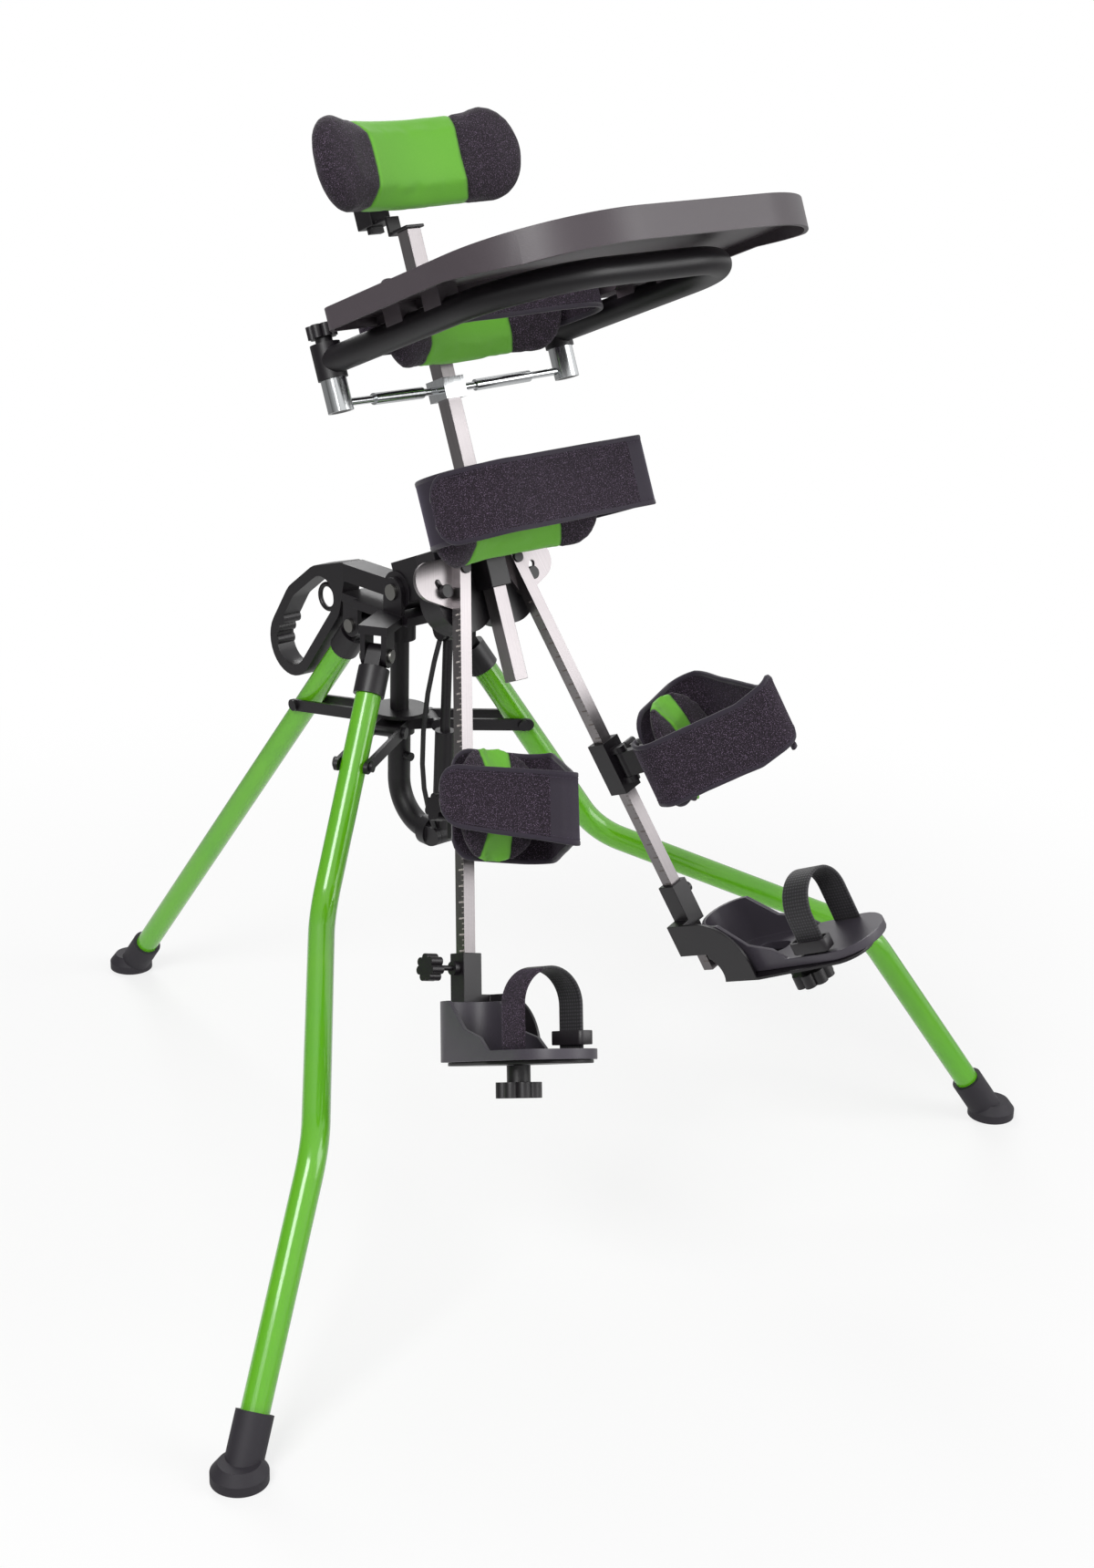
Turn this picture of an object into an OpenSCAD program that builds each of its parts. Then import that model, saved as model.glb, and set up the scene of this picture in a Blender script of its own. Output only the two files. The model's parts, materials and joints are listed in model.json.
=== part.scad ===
// Standing frame: a folding tripod, a tilting mast, two leg bars and padded supports.
// Millimetres. Z is up, the floor is Z = 0, the post stands on the Z axis and the user faces -Y.
// Left is the user's left, +X. Heights on the mast are "up", distances in front of the tilt pin "ahead".

/* [Tripod] */
// Height of the leg hinge pins above the floor
hinge_z = 540; // [520:1:570]
// Distance of the leg hinge pins from the post
hinge_r = 63; // [61:1:68]
// Outer diameter of the leg tubes
leg_d = 25.4; // [24:0.1:27]
// Wall of the leg tubes
leg_wall = 2; // [1.5:0.1:3]
// Slope of the rear leg below the level
rear_slope = 50.5; // [48:0.5:54]
// Heading of the front legs from straight ahead
front_heading = 60; // [56:1:64]
// Slope of the front legs above their first bend
front_slope = 56.3; // [54:0.1:60]
// Length of the front legs from the hinge to the first bend
front_upper = 262; // [250:1:280]
// Heading of the front legs between the bends
middle_heading = 39; // [34:1:44]
// Slope of the front legs between the bends
middle_slope = 17.5; // [14:0.5:20]
// Length of the front legs between the bends
front_middle = 304; // [280:1:330]
// Heading of the front legs below the second bend
lower_heading = 61; // [55:1:65]
// Slope of the front legs below the second bend
lower_slope = 55; // [50:0.5:60]
// Bend radius of the leg tubes
leg_bend = 75; // [60:1:90]
// Diameter of the flange of the rubber feet
foot_d = 50; // [46:1:60]
// Length of the rubber feet along the leg
foot_len = 56; // [50:1:70]

/* [Column] */
// Outer diameter of the upper post
post_d = 19; // [18:0.5:20]
// Wall of the upper post
post_wall = 2; // [1.5:0.1:3]
// Outer diameter of the lower tube
j_d = 23; // [22.5:0.1:25]
// Height of the top of the lower tube
j_top = 440; // [430:1:446]
// Height of the forward end of the lower tube
j_low = 349; // [335:1:360]
// Bend radius of the lower tube
j_bend = 44; // [40:1:48]
// Distance of the lower spring pin ahead of the post
spring_y = 68; // [67:0.5:74]
// Radius of the collar disc
collar_r = 30; // [26:0.5:32]
// Distance of the collar pins from the post
collar_pin_r = 35; // [33:0.5:38]
// Distance down the front legs of the strut bolts
front_strut = 112; // [105:1:120]
// Distance down the rear leg of the strut bolts
rear_strut = 140; // [130:1:150]
// Height of the flat strut bars
strut_h = 12; // [10:0.5:14]
// Thickness of the flat strut bars
strut_t = 4; // [3:0.5:5]

/* [Tilt head] */
// Distance of the tilt pin ahead of the post
pivot_y = 14; // [12:0.5:16]
// Height of the tilt pin above the leg hinge pins
pivot_up = 54; // [52:1:60]
// Lean of the mast behind the upright
mast_tilt = 22.3; // [20:0.1:24]
// Half width of the head barrel
barrel_half = 16.5; // [15:0.5:18]
// Distance of the upper spring pin ahead of the tilt pin
eye_ahead = 45; // [43:0.5:47]
// Distance of the upper spring pin below the tilt pin
eye_below = 48.7; // [46:0.5:50]
// Free space round the upper spring pin
eye_clear = 3; // [2.5:0.1:3.5]
// Thickness of the handle
handle_t = 22; // [18:0.5:24]

/* [Mast] */
// Width of the square mast
mast_w = 16; // [14:0.5:18]
// Wall of the mast
mast_wall = 2; // [1.5:0.1:2.5]
// Lower end of the mast below the tilt pin
mast_low = 112; // [100:1:120]
// Upper end of the mast above the tilt pin
mast_high = 324; // [318:1:328]
// Wall of the mast guide and of the clamps on the mast
guide_wall = 4; // [3.5:0.1:5]
// Back of the hip housing ahead of the tilt pin
housing_back = 88; // [84:1:92]
// Depth of the hip housing
housing_t = 28; // [26:0.5:32]

/* [Leg bars] */
// Width of the square leg bars
bar_w = 12.7; // [12:0.1:14]
// Length of the leg bars below their pivot
bar_len = 460; // [450:1:480]
// Distance of the leg bar pivots from the middle
bar_x = 33; // [31:0.5:36]
// Height of the leg bar pivots above the tilt pin
bar_up = 3; // [0:0.5:6]
// Spread of each leg bar from the mast
abduction = 16.4; // [15:0.1:18]
// Thickness of the quadrant plates
quadrant_t = 4; // [3:0.5:5]
// Distance of the lock bolts from the bar pivots
lock_r = 28; // [26:0.5:30]

/* [Knees] */
// Middle of the knee clamps down the bars
knee_at = 228; // [218:1:238]
// Length of the knee clamps
knee_clamp_len = 55; // [50:1:60]
// Length of the right knee link
knee_reach_right = 11; // [10.5:0.5:20]
// Length of the left knee link
knee_reach_left = 52; // [40:1:60]
// Outward swivel of the left knee cuff
knee_swivel_left = 15; // [0:1:18]
// Width of the knee pads round their curve
knee_pad_w = 112; // [100:1:118]
// Height of the knee pads
knee_pad_h = 112; // [100:1:116]
// Thickness of the knee pads
knee_pad_t = 18; // [14:0.5:20]
// Distance of the strap tip ahead of the back of the cuff
knee_loop = 138; // [125:1:145]
// Height of the knee straps
knee_strap_h = 64; // [54:1:74]

/* [Feet] */
// Top of the foot sleeves down the bars
foot_at = 362; // [350:1:370]
// Length of the foot sleeves
foot_sleeve = 46; // [40:1:50]
// Top of the foot plates down the bars
plate_at = 463; // [462:0.5:470]
// Thickness of the foot plates
plate_t = 3; // [2.5:0.5:4]
// Outward offset of the sole pivot from the bar
sole_out = 24; // [23:0.5:27]
// Distance of the sole pivot ahead of the bar
sole_ahead = 105; // [104:0.5:110]
// Length of the sandals
sandal_len = 186; // [176:1:190]
// Width of the sandals at the toes
sandal_w = 78; // [72:1:80]
// Width of the sandals at the heel
heel_w = 62; // [56:1:64]
// Thickness of the soles
sole_t = 9; // [8:0.5:11]
// Height of the heel cups above the sole
cup_h = 46; // [40:1:50]
// Outward turn of the left toes
toe_out_left = 8; // [0:1:9]
// Width of the foot straps
foot_strap_w = 30; // [25:1:34]
// Height of the foot straps above the sole
foot_strap_h = 72; // [64:1:76]

/* [Hip and chest] */
// Middle height of the hip support above the tilt pin
hip_up = 52; // [48:1:58]
// Width of the hip pad round its curve
hip_pad_w = 228; // [212:1:236]
// Height of the hip pad
hip_pad_h = 88; // [82:1:96]
// Thickness of the hip and chest pads
pad_t = 24; // [20:0.5:26]
// Width of the hip strap loop
hip_loop_w = 228; // [222:1:244]
// Depth of the hip strap loop
hip_loop = 112; // [106:1:118]
// Height of the hip strap
hip_strap_h = 70; // [58:1:73]
// Middle height of the chest support above the tilt pin
chest_up = 230; // [228:1:236]
// Width of the chest pad round its curve
chest_pad_w = 246; // [230:1:248]
// Height of the chest pad
chest_pad_h = 92; // [84:1:96]
// Width of the chest strap loop
chest_loop_w = 244; // [238:1:250]
// Depth of the chest strap loop
chest_loop = 124; // [110:1:126]
// Height of the chest strap
chest_strap_h = 52; // [40:1:56]
// Thickness of the padded straps
strap_t = 4; // [3:0.5:4.5]

/* [Headrest] */
// Middle height of the head pad above the tilt pin
head_up = 383; // [382:1:390]
// Width of the head pad round its curve
head_pad_w = 272; // [250:1:280]
// Height of the head pad
head_pad_h = 96; // [88:1:97]
// Thickness of the head pad
head_pad_t = 32; // [28:0.5:36]
// Distance of the headrest stem ahead of the tilt pin
stem_ahead = 80; // [78:0.5:82]

/* [Tray] */
// Height of the tray rods above the tilt pin
rod_up = 171; // [168:0.5:172]
// Sideways distance of the tray posts
post_x = 140; // [138:0.5:146]
// Distance of the tray posts ahead of the tilt pin
post_ahead = 143; // [140:0.5:146]
// Outer diameter of the chrome tray posts
tray_post_d = 24; // [23:0.5:26]
// Outer diameter of the tray tube
tray_tube_d = 25; // [22:0.5:26]
// Middle height of the tray tube above the tilt pin
tray_tube_up = 209; // [208:0.5:212]
// Front of the tray tube ahead of the tilt pin
tray_tube_front = 425; // [405:1:445]
// Width of the tray
tray_w = 380; // [360:1:400]
// Rear edge of the tray ahead of the tilt pin
tray_rear = 210; // [205:1:220]
// Front edge of the tray ahead of the tilt pin
tray_front = 508; // [500:1:530]
// Height of the tray rim above the deck
tray_lip = 8; // [4:0.5:14]
// Depth of the front apron below the deck
tray_apron = 16; // [12:1:24]
// Radius of the front corners of the tray
tray_corner = 116; // [100:1:124]
// Wall of the tray
tray_wall = 4; // [3:0.5:5]

/* [Fits] */
// Radial clearance of pins and sliding tubes
fit = 0.05; // [0.02:0.01:0.1]
// Clearance beside hinged and sliding flat faces
side_gap = 0.3; // [0.2:0.05:0.5]

/* [Hidden] */
$fn = 48;
hull_fn = 32;

leg_green = "#5fb02a";
pad_green = "#7cc254";
black = "#1c1a1e";
fabric = "#2a2230";
silver = "#b9b4ae";
chrome = "#d5d8da";

// Hub
tongue_w = 16;
tongue_r = 11;
cheek_t = 5;
cheek_in = tongue_w / 2 + side_gap;
cheek_out = cheek_in + cheek_t;
hinge_pin_d = 8;
tilt_pin_d = 10;
pivot_z = hinge_z + pivot_up;
plate_low = hinge_z + 23;
plate_top = plate_low + 9;
hub_half = barrel_half + side_gap + cheek_t;
hub_front = 38;
hub_rear = 48;
boss_r = post_d / 2 + 6.5;
boss_low = hinge_z - 1;
post_top = plate_low - 3;
pin_head = 3;

// Legs
socket_wall = 2.8;
socket_top = 14;
socket_end = 42;
tube_start = 16;
tube_stop = 14;
headings = [180, -front_heading, front_heading];
rear_len = hinge_z / sin(rear_slope);

// Collar and struts
collar_pin_z = j_top + 12;
collar_t = 4;
collar_h = 22;
strut_in = leg_d / 2 + 0.8;
collar_half = strut_in - side_gap;
strut_pin_d = 6;
strut_over = 5;

// Tilt head and spring
barrel_r = 20;
beam_half = 15;
beam_low = 14;
beam_high = 28;
arm_half = 13;
arm_low = 10;
arm_high = 8;
arm_end = 90;
lug_in = 7 + side_gap;
lug_t = 5;
spring_pin_d = 8;
spring_eye_w = 14;
spring_body_d = 20;
spring_rod_d = 10;
spring_body_low = 24;
spring_body_top = 112;
spring_rod_low = 62;

// Hip housing, bars and mast
housing_front = housing_back + housing_t;
lobe_r = 34;
lobe_x = 27;
lobe_up = -23.5;
bar_ahead = housing_front + side_gap + quadrant_t + bar_w / 2;
bar_pin_d = 6;
bar_head = 11;
lock_d = 6;
lock_angle = -39.3;
lock_reach = [-7, 22];
guide_w = mast_w + 2 * guide_wall;
mast_ahead = housing_front + guide_w / 2;
guide_low = -21;
guide_high = 80;
slide_gap = 0.1;

// Supports on the mast
bracket_t = 3;
soft_gap = 0.3;
hip_back = mast_ahead + guide_w / 2 + side_gap;
chest_back = mast_ahead + guide_w / 2;
chest_sleeve = 36;
rod_block = 20;
clamp_w = mast_w + 2 * guide_wall + 2;
rod_d = 7;
rod_thick_d = 11;
clamp_d = 28;
shaft_d = 18;
clamp_low = rod_up + 22.3;
clamp_top = tray_tube_up + 17;
deck_low = tray_tube_up + tray_tube_d / 2 + 10.5;

// Headrest
stem_w = 16;
stem_t = 6;
cap_t = 3;
block_half = 12;
block_high = 30;
strip_low = mast_high + 16;
clamp_mid = 392;
pitch_ahead = stem_ahead + 28;

// Knees and feet
clamp_wall = 5;
knee_out = bar_w / 2 + clamp_wall;
ear_r = 6.5;
knee_pin = knee_out + ear_r;
knee_pin_d = 6;
ear_in = 13;
ear_t = 6;
foot_wall = 4;
foot_out = bar_w / 2 + foot_wall;
side_plate = 20;
knee_stud = 12;
foot_stud = 24;
knob_d = 26;
knob_h = 13;
sole_knob_d = 42;
stud_d = 8;
sole_low = plate_at - side_gap;
sole_top = sole_low - sole_t;

// Places of points
function heading_dir(h, s) = [cos(s) * sin(h), -cos(s) * cos(h), -sin(s)];
function hinge_point(h) = [hinge_r * sin(h), -hinge_r * cos(h), hinge_z];
function unit(v) = v / norm(v);
function ahead_point(x, ahead, up) = [x,
    -pivot_y - ahead * cos(mast_tilt) + up * sin(mast_tilt),
    pivot_z + ahead * sin(mast_tilt) + up * cos(mast_tilt)];
function front_points(side) =
    let (p0 = hinge_point(side * front_heading),
         d1 = heading_dir(side * front_heading, front_slope),
         p1 = p0 + front_upper * d1,
         p2 = p1 + front_middle * heading_dir(side * middle_heading, middle_slope),
         d3 = heading_dir(side * lower_heading, lower_slope),
         p3 = p2 + (p2[2] / sin(lower_slope)) * d3)
    [p0 + (tube_start + side_gap) * d1, p1, p2, p3 - tube_stop * d3];
function front_foot(side) =
    let (p = front_points(side), d = unit(p[3] - p[2])) p[3] + tube_stop * d;

// Frames
module on_side(side) {
    if (side > 0) children();
    else mirror([1, 0, 0]) children();
}
module at_heading(h) rotate([0, 0, h]) children();
module in_leg(h, s) at_heading(h) translate([0, -hinge_r, hinge_z]) rotate([90 + s, 0, 0]) children();
module at_pivot() translate([0, -pivot_y, pivot_z]) children();
module in_tilt() at_pivot() rotate([-mast_tilt, 0, 0]) children();
module in_bar() in_tilt() translate([bar_x, -bar_ahead, bar_up]) rotate([0, -abduction, 0]) children();
module along_x(d, from, to) translate([from, 0, 0]) rotate([0, 90, 0]) cylinder(d = d, h = to - from);
// A cylinder that runs forward from one distance ahead to another
module ahead_rod(d, from, to) translate([0, -from, 0]) rotate([90, 0, 0]) cylinder(d = d, h = to - from);
// A block given by its half width, its span ahead and its span of height
module ahead_block(half, from, to, low, high)
    translate([-half, -to, low]) cube([2 * half, to - from, high - low]);

// Turns local Z to a direction and local X towards a second one
module align(z, x) {
    zz = unit(z);
    yy = unit(cross(zz, x));
    xx = cross(yy, zz);
    multmatrix([[xx[0], yy[0], zz[0], 0], [xx[1], yy[1], zz[1], 0], [xx[2], yy[2], zz[2], 0]]) children();
}
module ring(d, wall) difference() {
    circle(d = d);
    circle(d = d - 2 * wall);
}
function turn_of(p, i) = acos(unit(p[i] - p[i - 1]) * unit(p[i + 1] - p[i]));
function cut_of(p, i, r) = (i == 0 || i == len(p) - 1) ? 0 : r * tan(turn_of(p, i) / 2);
// A round tube through points, with a bend of radius r at each inner point. Bending thins the wall a little.
bend_thin = 0.04;
module tube_run(p, d, wall, r) {
    for (i = [0 : len(p) - 2]) {
        a = unit(p[i + 1] - p[i]);
        from = cut_of(p, i, r);
        to = norm(p[i + 1] - p[i]) - cut_of(p, i + 1, r);
        translate(p[i] + from * a) align(a, [a[1], a[2], a[0]]) linear_extrude(to - from) ring(d, wall);
    }
    for (i = [1 : len(p) - 2]) {
        a = unit(p[i] - p[i - 1]);
        b = unit(p[i + 1] - p[i]);
        side = unit(cross(a, b));
        start = p[i] - cut_of(p, i, r) * a;
        centre = start + r * unit(b - (a * b) * a);
        translate(centre) align(side, start - centre)
            rotate_extrude(angle = turn_of(p, i)) translate([r, 0]) ring(d - bend_thin, wall - bend_thin);
    }
}

// Hub
module hub_bracket() color(black) difference() {
    union() {
        translate([-hub_half, -hub_front, plate_low])
            cube([2 * hub_half, hub_front + hub_rear, plate_top - plate_low]);
        for (h = headings) at_heading(h) hub_arm();
        translate([0, 0, boss_low]) cylinder(r = boss_r, h = plate_low - boss_low);
        at_pivot() for (s = [-1, 1]) tilt_ear(s);
    }
    for (h = headings) at_heading(h) translate([0, -hinge_r, hinge_z])
        along_x(hinge_pin_d + 2 * fit, -2 * cheek_out, 2 * cheek_out);
    at_pivot() along_x(tilt_pin_d + 2 * fit, -2 * hub_half, 2 * hub_half);
    translate([0, 0, boss_low - 1]) cylinder(d = post_d + 2 * fit, h = post_top - boss_low + 1 + fit);
}
module hub_arm() {
    translate([-cheek_out - 2, -hinge_r - 12, plate_low])
        cube([2 * cheek_out + 4, hinge_r + 12, plate_top - plate_low]);
    for (s = [-1, 1]) {
        x = s > 0 ? cheek_in : -cheek_out;
        translate([x, -hinge_r, hinge_z]) {
            along_x(24, 0, cheek_t);
            translate([0, -12, 0]) cube([cheek_t, 24, plate_low - hinge_z + 1]);
        }
    }
}
module tilt_ear(s) {
    x = s > 0 ? hub_half - cheek_t : -hub_half;
    translate([x, 0, 0]) {
        along_x(28, 0, cheek_t);
        translate([0, -14, plate_top - pivot_z - 1]) cube([cheek_t, 28, pivot_z - plate_top + 1]);
    }
}
module hub_pins() color(silver) {
    for (h = headings) at_heading(h) translate([0, -hinge_r, hinge_z])
        headed_pin(hinge_pin_d, cheek_out + fit);
    at_pivot() headed_pin(tilt_pin_d, hub_half + fit);
}
module headed_pin(d, half) {
    along_x(d, -half, half);
    for (s = [-1, 1]) along_x(d + 6, s > 0 ? half : -half - pin_head, s > 0 ? half + pin_head : -half);
}

// Column
module centre_post() color(black) translate([0, 0, j_top - 12])
    linear_extrude(post_top - j_top + 12) ring(post_d, post_wall);
module j_tube() color(black) {
    j_wall = (j_d - post_d) / 2 - fit;
    tube_run([[0, 0, j_top], [0, 0, j_low], [0, -j_bend - 8, j_low]], j_d, j_wall, j_bend);
    translate([0, -j_d / 2 + 0.5, j_top - 22]) rotate([90, 0, 0]) cylinder(d = 9, h = 8);
}
module spring_clamp() color(black) {
    difference() {
        translate([0, 0, j_low]) ahead_rod(j_d + 9, j_bend + 1, j_bend + 13);
        translate([0, 0, j_low]) ahead_rod(j_d + 2 * fit, j_bend, j_bend + 8 + fit);
    }
    for (s = [-1, 1]) {
        x = s > 0 ? lug_in : -lug_in - lug_t;
        translate([x, -spring_y, j_low]) along_x(18, 0, lug_t);
        translate([x, -spring_y, j_low - 9]) cube([lug_t, spring_y - j_bend - 12, 18]);
    }
    translate([0, -spring_y, j_low]) along_x(spring_pin_d, -lug_in - lug_t, lug_in + lug_t);
}
// The release cable hangs from the head and ends at the spring's lower valve
cable_d = 5;
cable_route = [[-10.3, -73.5, 556.6], [-13, -69, 535], [-16, -63, 500], [-17, -58, 460], [-17, -57, 425],
               [-17, -60, 400], [-15.5, -65, 380], [-12.6, -67.5, 368], [-10, -68, 358.6]];
module release_cable() color(black) polyhedron_tube(cable_route, cable_d, 8);
function route_dir(p, i) = unit(p[min(i + 1, len(p) - 1)] - p[max(i - 1, 0)]);
function route_ring(c, d, t, n) =
    let (u = unit(cross(t, [1, 0, 0])), v = cross(t, u))
    [for (k = [0 : n - 1]) c + (d / 2) * (cos(360 * k / n) * u + sin(360 * k / n) * v)];
module polyhedron_tube(p, d, n) {
    m = len(p);
    points = [for (i = [0 : m - 1]) each route_ring(p[i], d, route_dir(p, i), n)];
    walls = [for (i = [0 : m - 2], k = [0 : n - 1]) each let (l = (k + 1) % n)
        [[i * n + k, i * n + l, (i + 1) * n + l], [i * n + k, (i + 1) * n + l, (i + 1) * n + k]]];
    ends = [for (k = [1 : n - 2]) each
        [[0, k + 1, k], [(m - 1) * n, (m - 1) * n + k, (m - 1) * n + k + 1]]];
    polyhedron(points, concat(walls, ends), convexity = 4);
}

// Fold linkage
module collar() color(black) difference() {
    union() {
        translate([0, 0, j_top + collar_h]) cylinder(r = collar_r, h = collar_t);
        translate([0, 0, j_top]) cylinder(d = j_d + 8, h = collar_h);
        for (h = headings) at_heading(h) translate([0, 0, collar_pin_z]) {
            translate([0, -collar_pin_r, 0]) along_x(strut_h - 1, -collar_half, collar_half);
            translate([-collar_half, -collar_pin_r, -strut_h / 2 + 0.5])
                cube([2 * collar_half, collar_pin_r, strut_h - 1]);
        }
    }
    translate([0, 0, j_top - 1]) cylinder(d = post_d + 2 * fit, h = collar_h + collar_t + 2);
    for (h = headings) at_heading(h) translate([0, -collar_pin_r, collar_pin_z])
        along_x(strut_pin_d + 2 * fit, -2 * collar_half, 2 * collar_half);
}
module strut_bars(h, slope, at) {
    out = [hinge_r + at * cos(slope), hinge_z - at * sin(slope)];
    run = out - [collar_pin_r, collar_pin_z];
    length = norm(run);
    color(black) at_heading(h) translate([0, -collar_pin_r, collar_pin_z])
        rotate([-atan2(run[1], run[0]), 0, 0]) {
            for (s = [-1, 1]) on_side(s) {
                strut_bar(length);
                translate([0, -length, 0]) {
                    along_x(strut_pin_d, strut_in, strut_in + strut_t);
                    along_x(strut_pin_d + 5, strut_in + strut_t, strut_in + strut_t + pin_head);
                }
            }
            headed_pin(strut_pin_d, strut_in + strut_t);
        }
}
module strut_bar(length) difference() {
    union() {
        translate([strut_in, -length - strut_over, -strut_h / 2])
            cube([strut_t, length + strut_over, strut_h]);
        translate([strut_in, -length - strut_over, 0]) rotate([0, 90, 0]) cylinder(d = strut_h, h = strut_t);
        translate([strut_in, 0, 0]) rotate([0, 90, 0]) cylinder(d = strut_h, h = strut_t);
    }
    for (y = [0, -length]) translate([0, y, 0])
        along_x(strut_pin_d + 2 * fit, strut_in - 1, strut_in + strut_t + 1);
}
module rear_strut_bars() strut_bars(180, rear_slope, rear_strut);
module right_strut_bars() strut_bars(-front_heading, front_slope, front_strut);
module left_strut_bars() strut_bars(front_heading, front_slope, front_strut);

// Legs
module leg_socket(h, s) color(black) in_leg(h, s) difference() {
    union() {
        along_x(2 * tongue_r, -tongue_w / 2, tongue_w / 2);
        translate([-tongue_w / 2, -tongue_r, 0]) cube([tongue_w, 2 * tongue_r, tube_start]);
        translate([0, 0, socket_top]) cylinder(d = leg_d + 2 * socket_wall, h = socket_end - socket_top);
    }
    translate([0, 0, tube_start]) cylinder(d = leg_d + 2 * fit, h = socket_end);
    along_x(hinge_pin_d + 2 * fit, -tongue_w, tongue_w);
}
module rear_leg_socket() leg_socket(180, rear_slope);
module right_leg_socket() leg_socket(-front_heading, front_slope);
module left_leg_socket() leg_socket(front_heading, front_slope);
module rear_leg_tube() color(leg_green) in_leg(180, rear_slope) translate([0, 0, tube_start + side_gap])
    linear_extrude(rear_len - tube_stop - tube_start - side_gap) ring(leg_d, leg_wall);
module right_leg_tube() color(leg_green) tube_run(front_points(-1), leg_d, leg_wall, leg_bend);
module left_leg_tube() color(leg_green) tube_run(front_points(1), leg_d, leg_wall, leg_bend);
// A rubber foot with a flat flange on the floor and a sleeve up the leg
module leg_foot(at, h, s) color(black) translate(at) at_heading(h) difference() {
    union() {
        cylinder(d = foot_d, h = 9);
        translate([0, 0, 9]) cylinder(d1 = foot_d, d2 = leg_d + 11, h = 9);
        intersection() {
            rotate([-90 + s, 0, 0]) cylinder(d = leg_d + 8, h = foot_len);
            translate([-foot_d, -2 * foot_d, 4]) cube([2 * foot_d, 4 * foot_d, 2 * foot_len]);
        }
    }
    rotate([-90 + s, 0, 0]) translate([0, 0, tube_stop - fit]) cylinder(d = leg_d + 2 * fit, h = foot_len);
}
module rear_leg_foot() leg_foot(hinge_point(180) + rear_len * heading_dir(180, rear_slope), 180, rear_slope);
module right_leg_foot() leg_foot(front_foot(-1), -lower_heading, lower_slope);
module left_leg_foot() leg_foot(front_foot(1), lower_heading, lower_slope);

// Tilt head: the rear arm lies level and the front beam leans with the mast
module tilt_head() color(black) difference() {
    union() {
        at_pivot() along_x(2 * barrel_r, -barrel_half, barrel_half);
        at_pivot() ahead_block(arm_half, -arm_end, 0, -arm_low, arm_high);
        in_tilt() ahead_block(beam_half, 0, housing_back, -beam_low, beam_high);
        in_tilt() for (s = [-1, 1]) {
            x = s > 0 ? lug_in : -lug_in - lug_t;
            translate([x, -eye_ahead, -eye_below]) along_x(18, 0, lug_t);
            translate([x, -eye_ahead - 9, -eye_below]) cube([lug_t, 18, eye_below - beam_low + 1]);
        }
        in_tilt() translate([0, -eye_ahead, -eye_below]) along_x(spring_pin_d, -lug_in - 1, lug_in + 1);
    }
    at_pivot() along_x(tilt_pin_d + 2 * fit, -2 * barrel_half, 2 * barrel_half);
}
// Handle loop in the upright middle plane: root, top, back and end circles as distance behind, height, radius
grip_root = [116, -26, 22];
grip_top = [128, -35, 32];
grip_back = [159, -61, 34];
grip_end = [180, -97, 36];
grip_bar = 11.5;
module grip_circle(c, less) translate([c[0], c[1]]) circle(r = c[2] - less, $fn = hull_fn);
module handle() color(black) at_pivot() rotate([90, 0, 90]) translate([0, 0, -handle_t / 2]) difference() {
    linear_extrude(handle_t) difference() {
        hull() {
            translate([arm_end, -arm_low]) square([4, arm_low + arm_high]);
            grip_circle(grip_root, 0);
            grip_circle(grip_top, 0);
            grip_circle(grip_back, 0);
            grip_circle(grip_end, 0);
        }
        difference() {
            hull() {
                grip_circle(grip_top, grip_bar);
                grip_circle(grip_back, grip_bar);
                grip_circle(grip_end, grip_bar);
            }
            for (a = [-8, 22, 52])
                translate([grip_end[0], grip_end[1]] + (grip_end[2] - grip_bar + 3) * [cos(a), sin(a)])
                    circle(r = 6, $fn = hull_fn);
        }
    }
    ring_place() translate([0, 0, -ring_r - ring_stem])
        cylinder(d = ring_stem_d + 4 * fit, h = ring_stem + ring_r);
}
// Pull ring: its stem slides along the grip and works the spring's valve
ring_r = 13;
ring_t = 5;
ring_stem = 24;
ring_stem_d = 5;
ring_at = [130, -38];
ring_dir = unit([grip_end[0] - grip_top[0], grip_end[1] - grip_top[1]]);
module ring_place() translate([ring_at[0], ring_at[1], handle_t / 2])
    rotate([0, 0, atan2(ring_dir[1], ring_dir[0])]) rotate([0, 90, 0]) children();
module pull_ring() color(black) at_pivot() rotate([90, 0, 90]) translate([0, 0, -handle_t / 2]) ring_place() {
    rotate([0, 90, 0]) rotate_extrude() translate([ring_r, 0]) circle(d = ring_t);
    translate([0, 0, -ring_r - ring_stem + 2]) cylinder(d = ring_stem_d, h = ring_stem - 2);
}

// Gas spring between the column and the tilt head
spring_eye = ahead_point(0, eye_ahead, -eye_below);
spring_foot = [0, -spring_y, j_low];
spring_len = norm(spring_eye - spring_foot);
spring_lean = atan2(spring_foot[1] - spring_eye[1], spring_eye[2] - spring_foot[2]);
module in_spring() translate(spring_foot) rotate([spring_lean, 0, 0]) children();
module gas_cylinder() color(black) in_spring() difference() {
    union() {
        along_x(18, -spring_eye_w / 2, spring_eye_w / 2);
        cylinder(d = spring_eye_w - 2, h = spring_body_low + 1);
        translate([0, 0, spring_body_low]) cylinder(d = spring_body_d, h = spring_body_top - spring_body_low);
    }
    along_x(spring_pin_d + 2 * fit, -spring_eye_w, spring_eye_w);
    translate([0, 0, spring_body_low + 8]) cylinder(d = spring_rod_d + 2 * fit, h = spring_body_top);
}
module gas_rod() color("#303034") in_spring() difference() {
    eye_r = spring_pin_d / 2 + eye_clear + 4;
    union() {
        translate([0, 0, spring_rod_low])
            cylinder(d = spring_rod_d, h = spring_len - spring_rod_low - eye_r + 3);
        translate([0, 0, spring_len]) along_x(2 * eye_r, -spring_eye_w / 2, spring_eye_w / 2);
    }
    translate([0, 0, spring_len]) along_x(spring_pin_d + 2 * eye_clear, -spring_eye_w, spring_eye_w);
}

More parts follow.
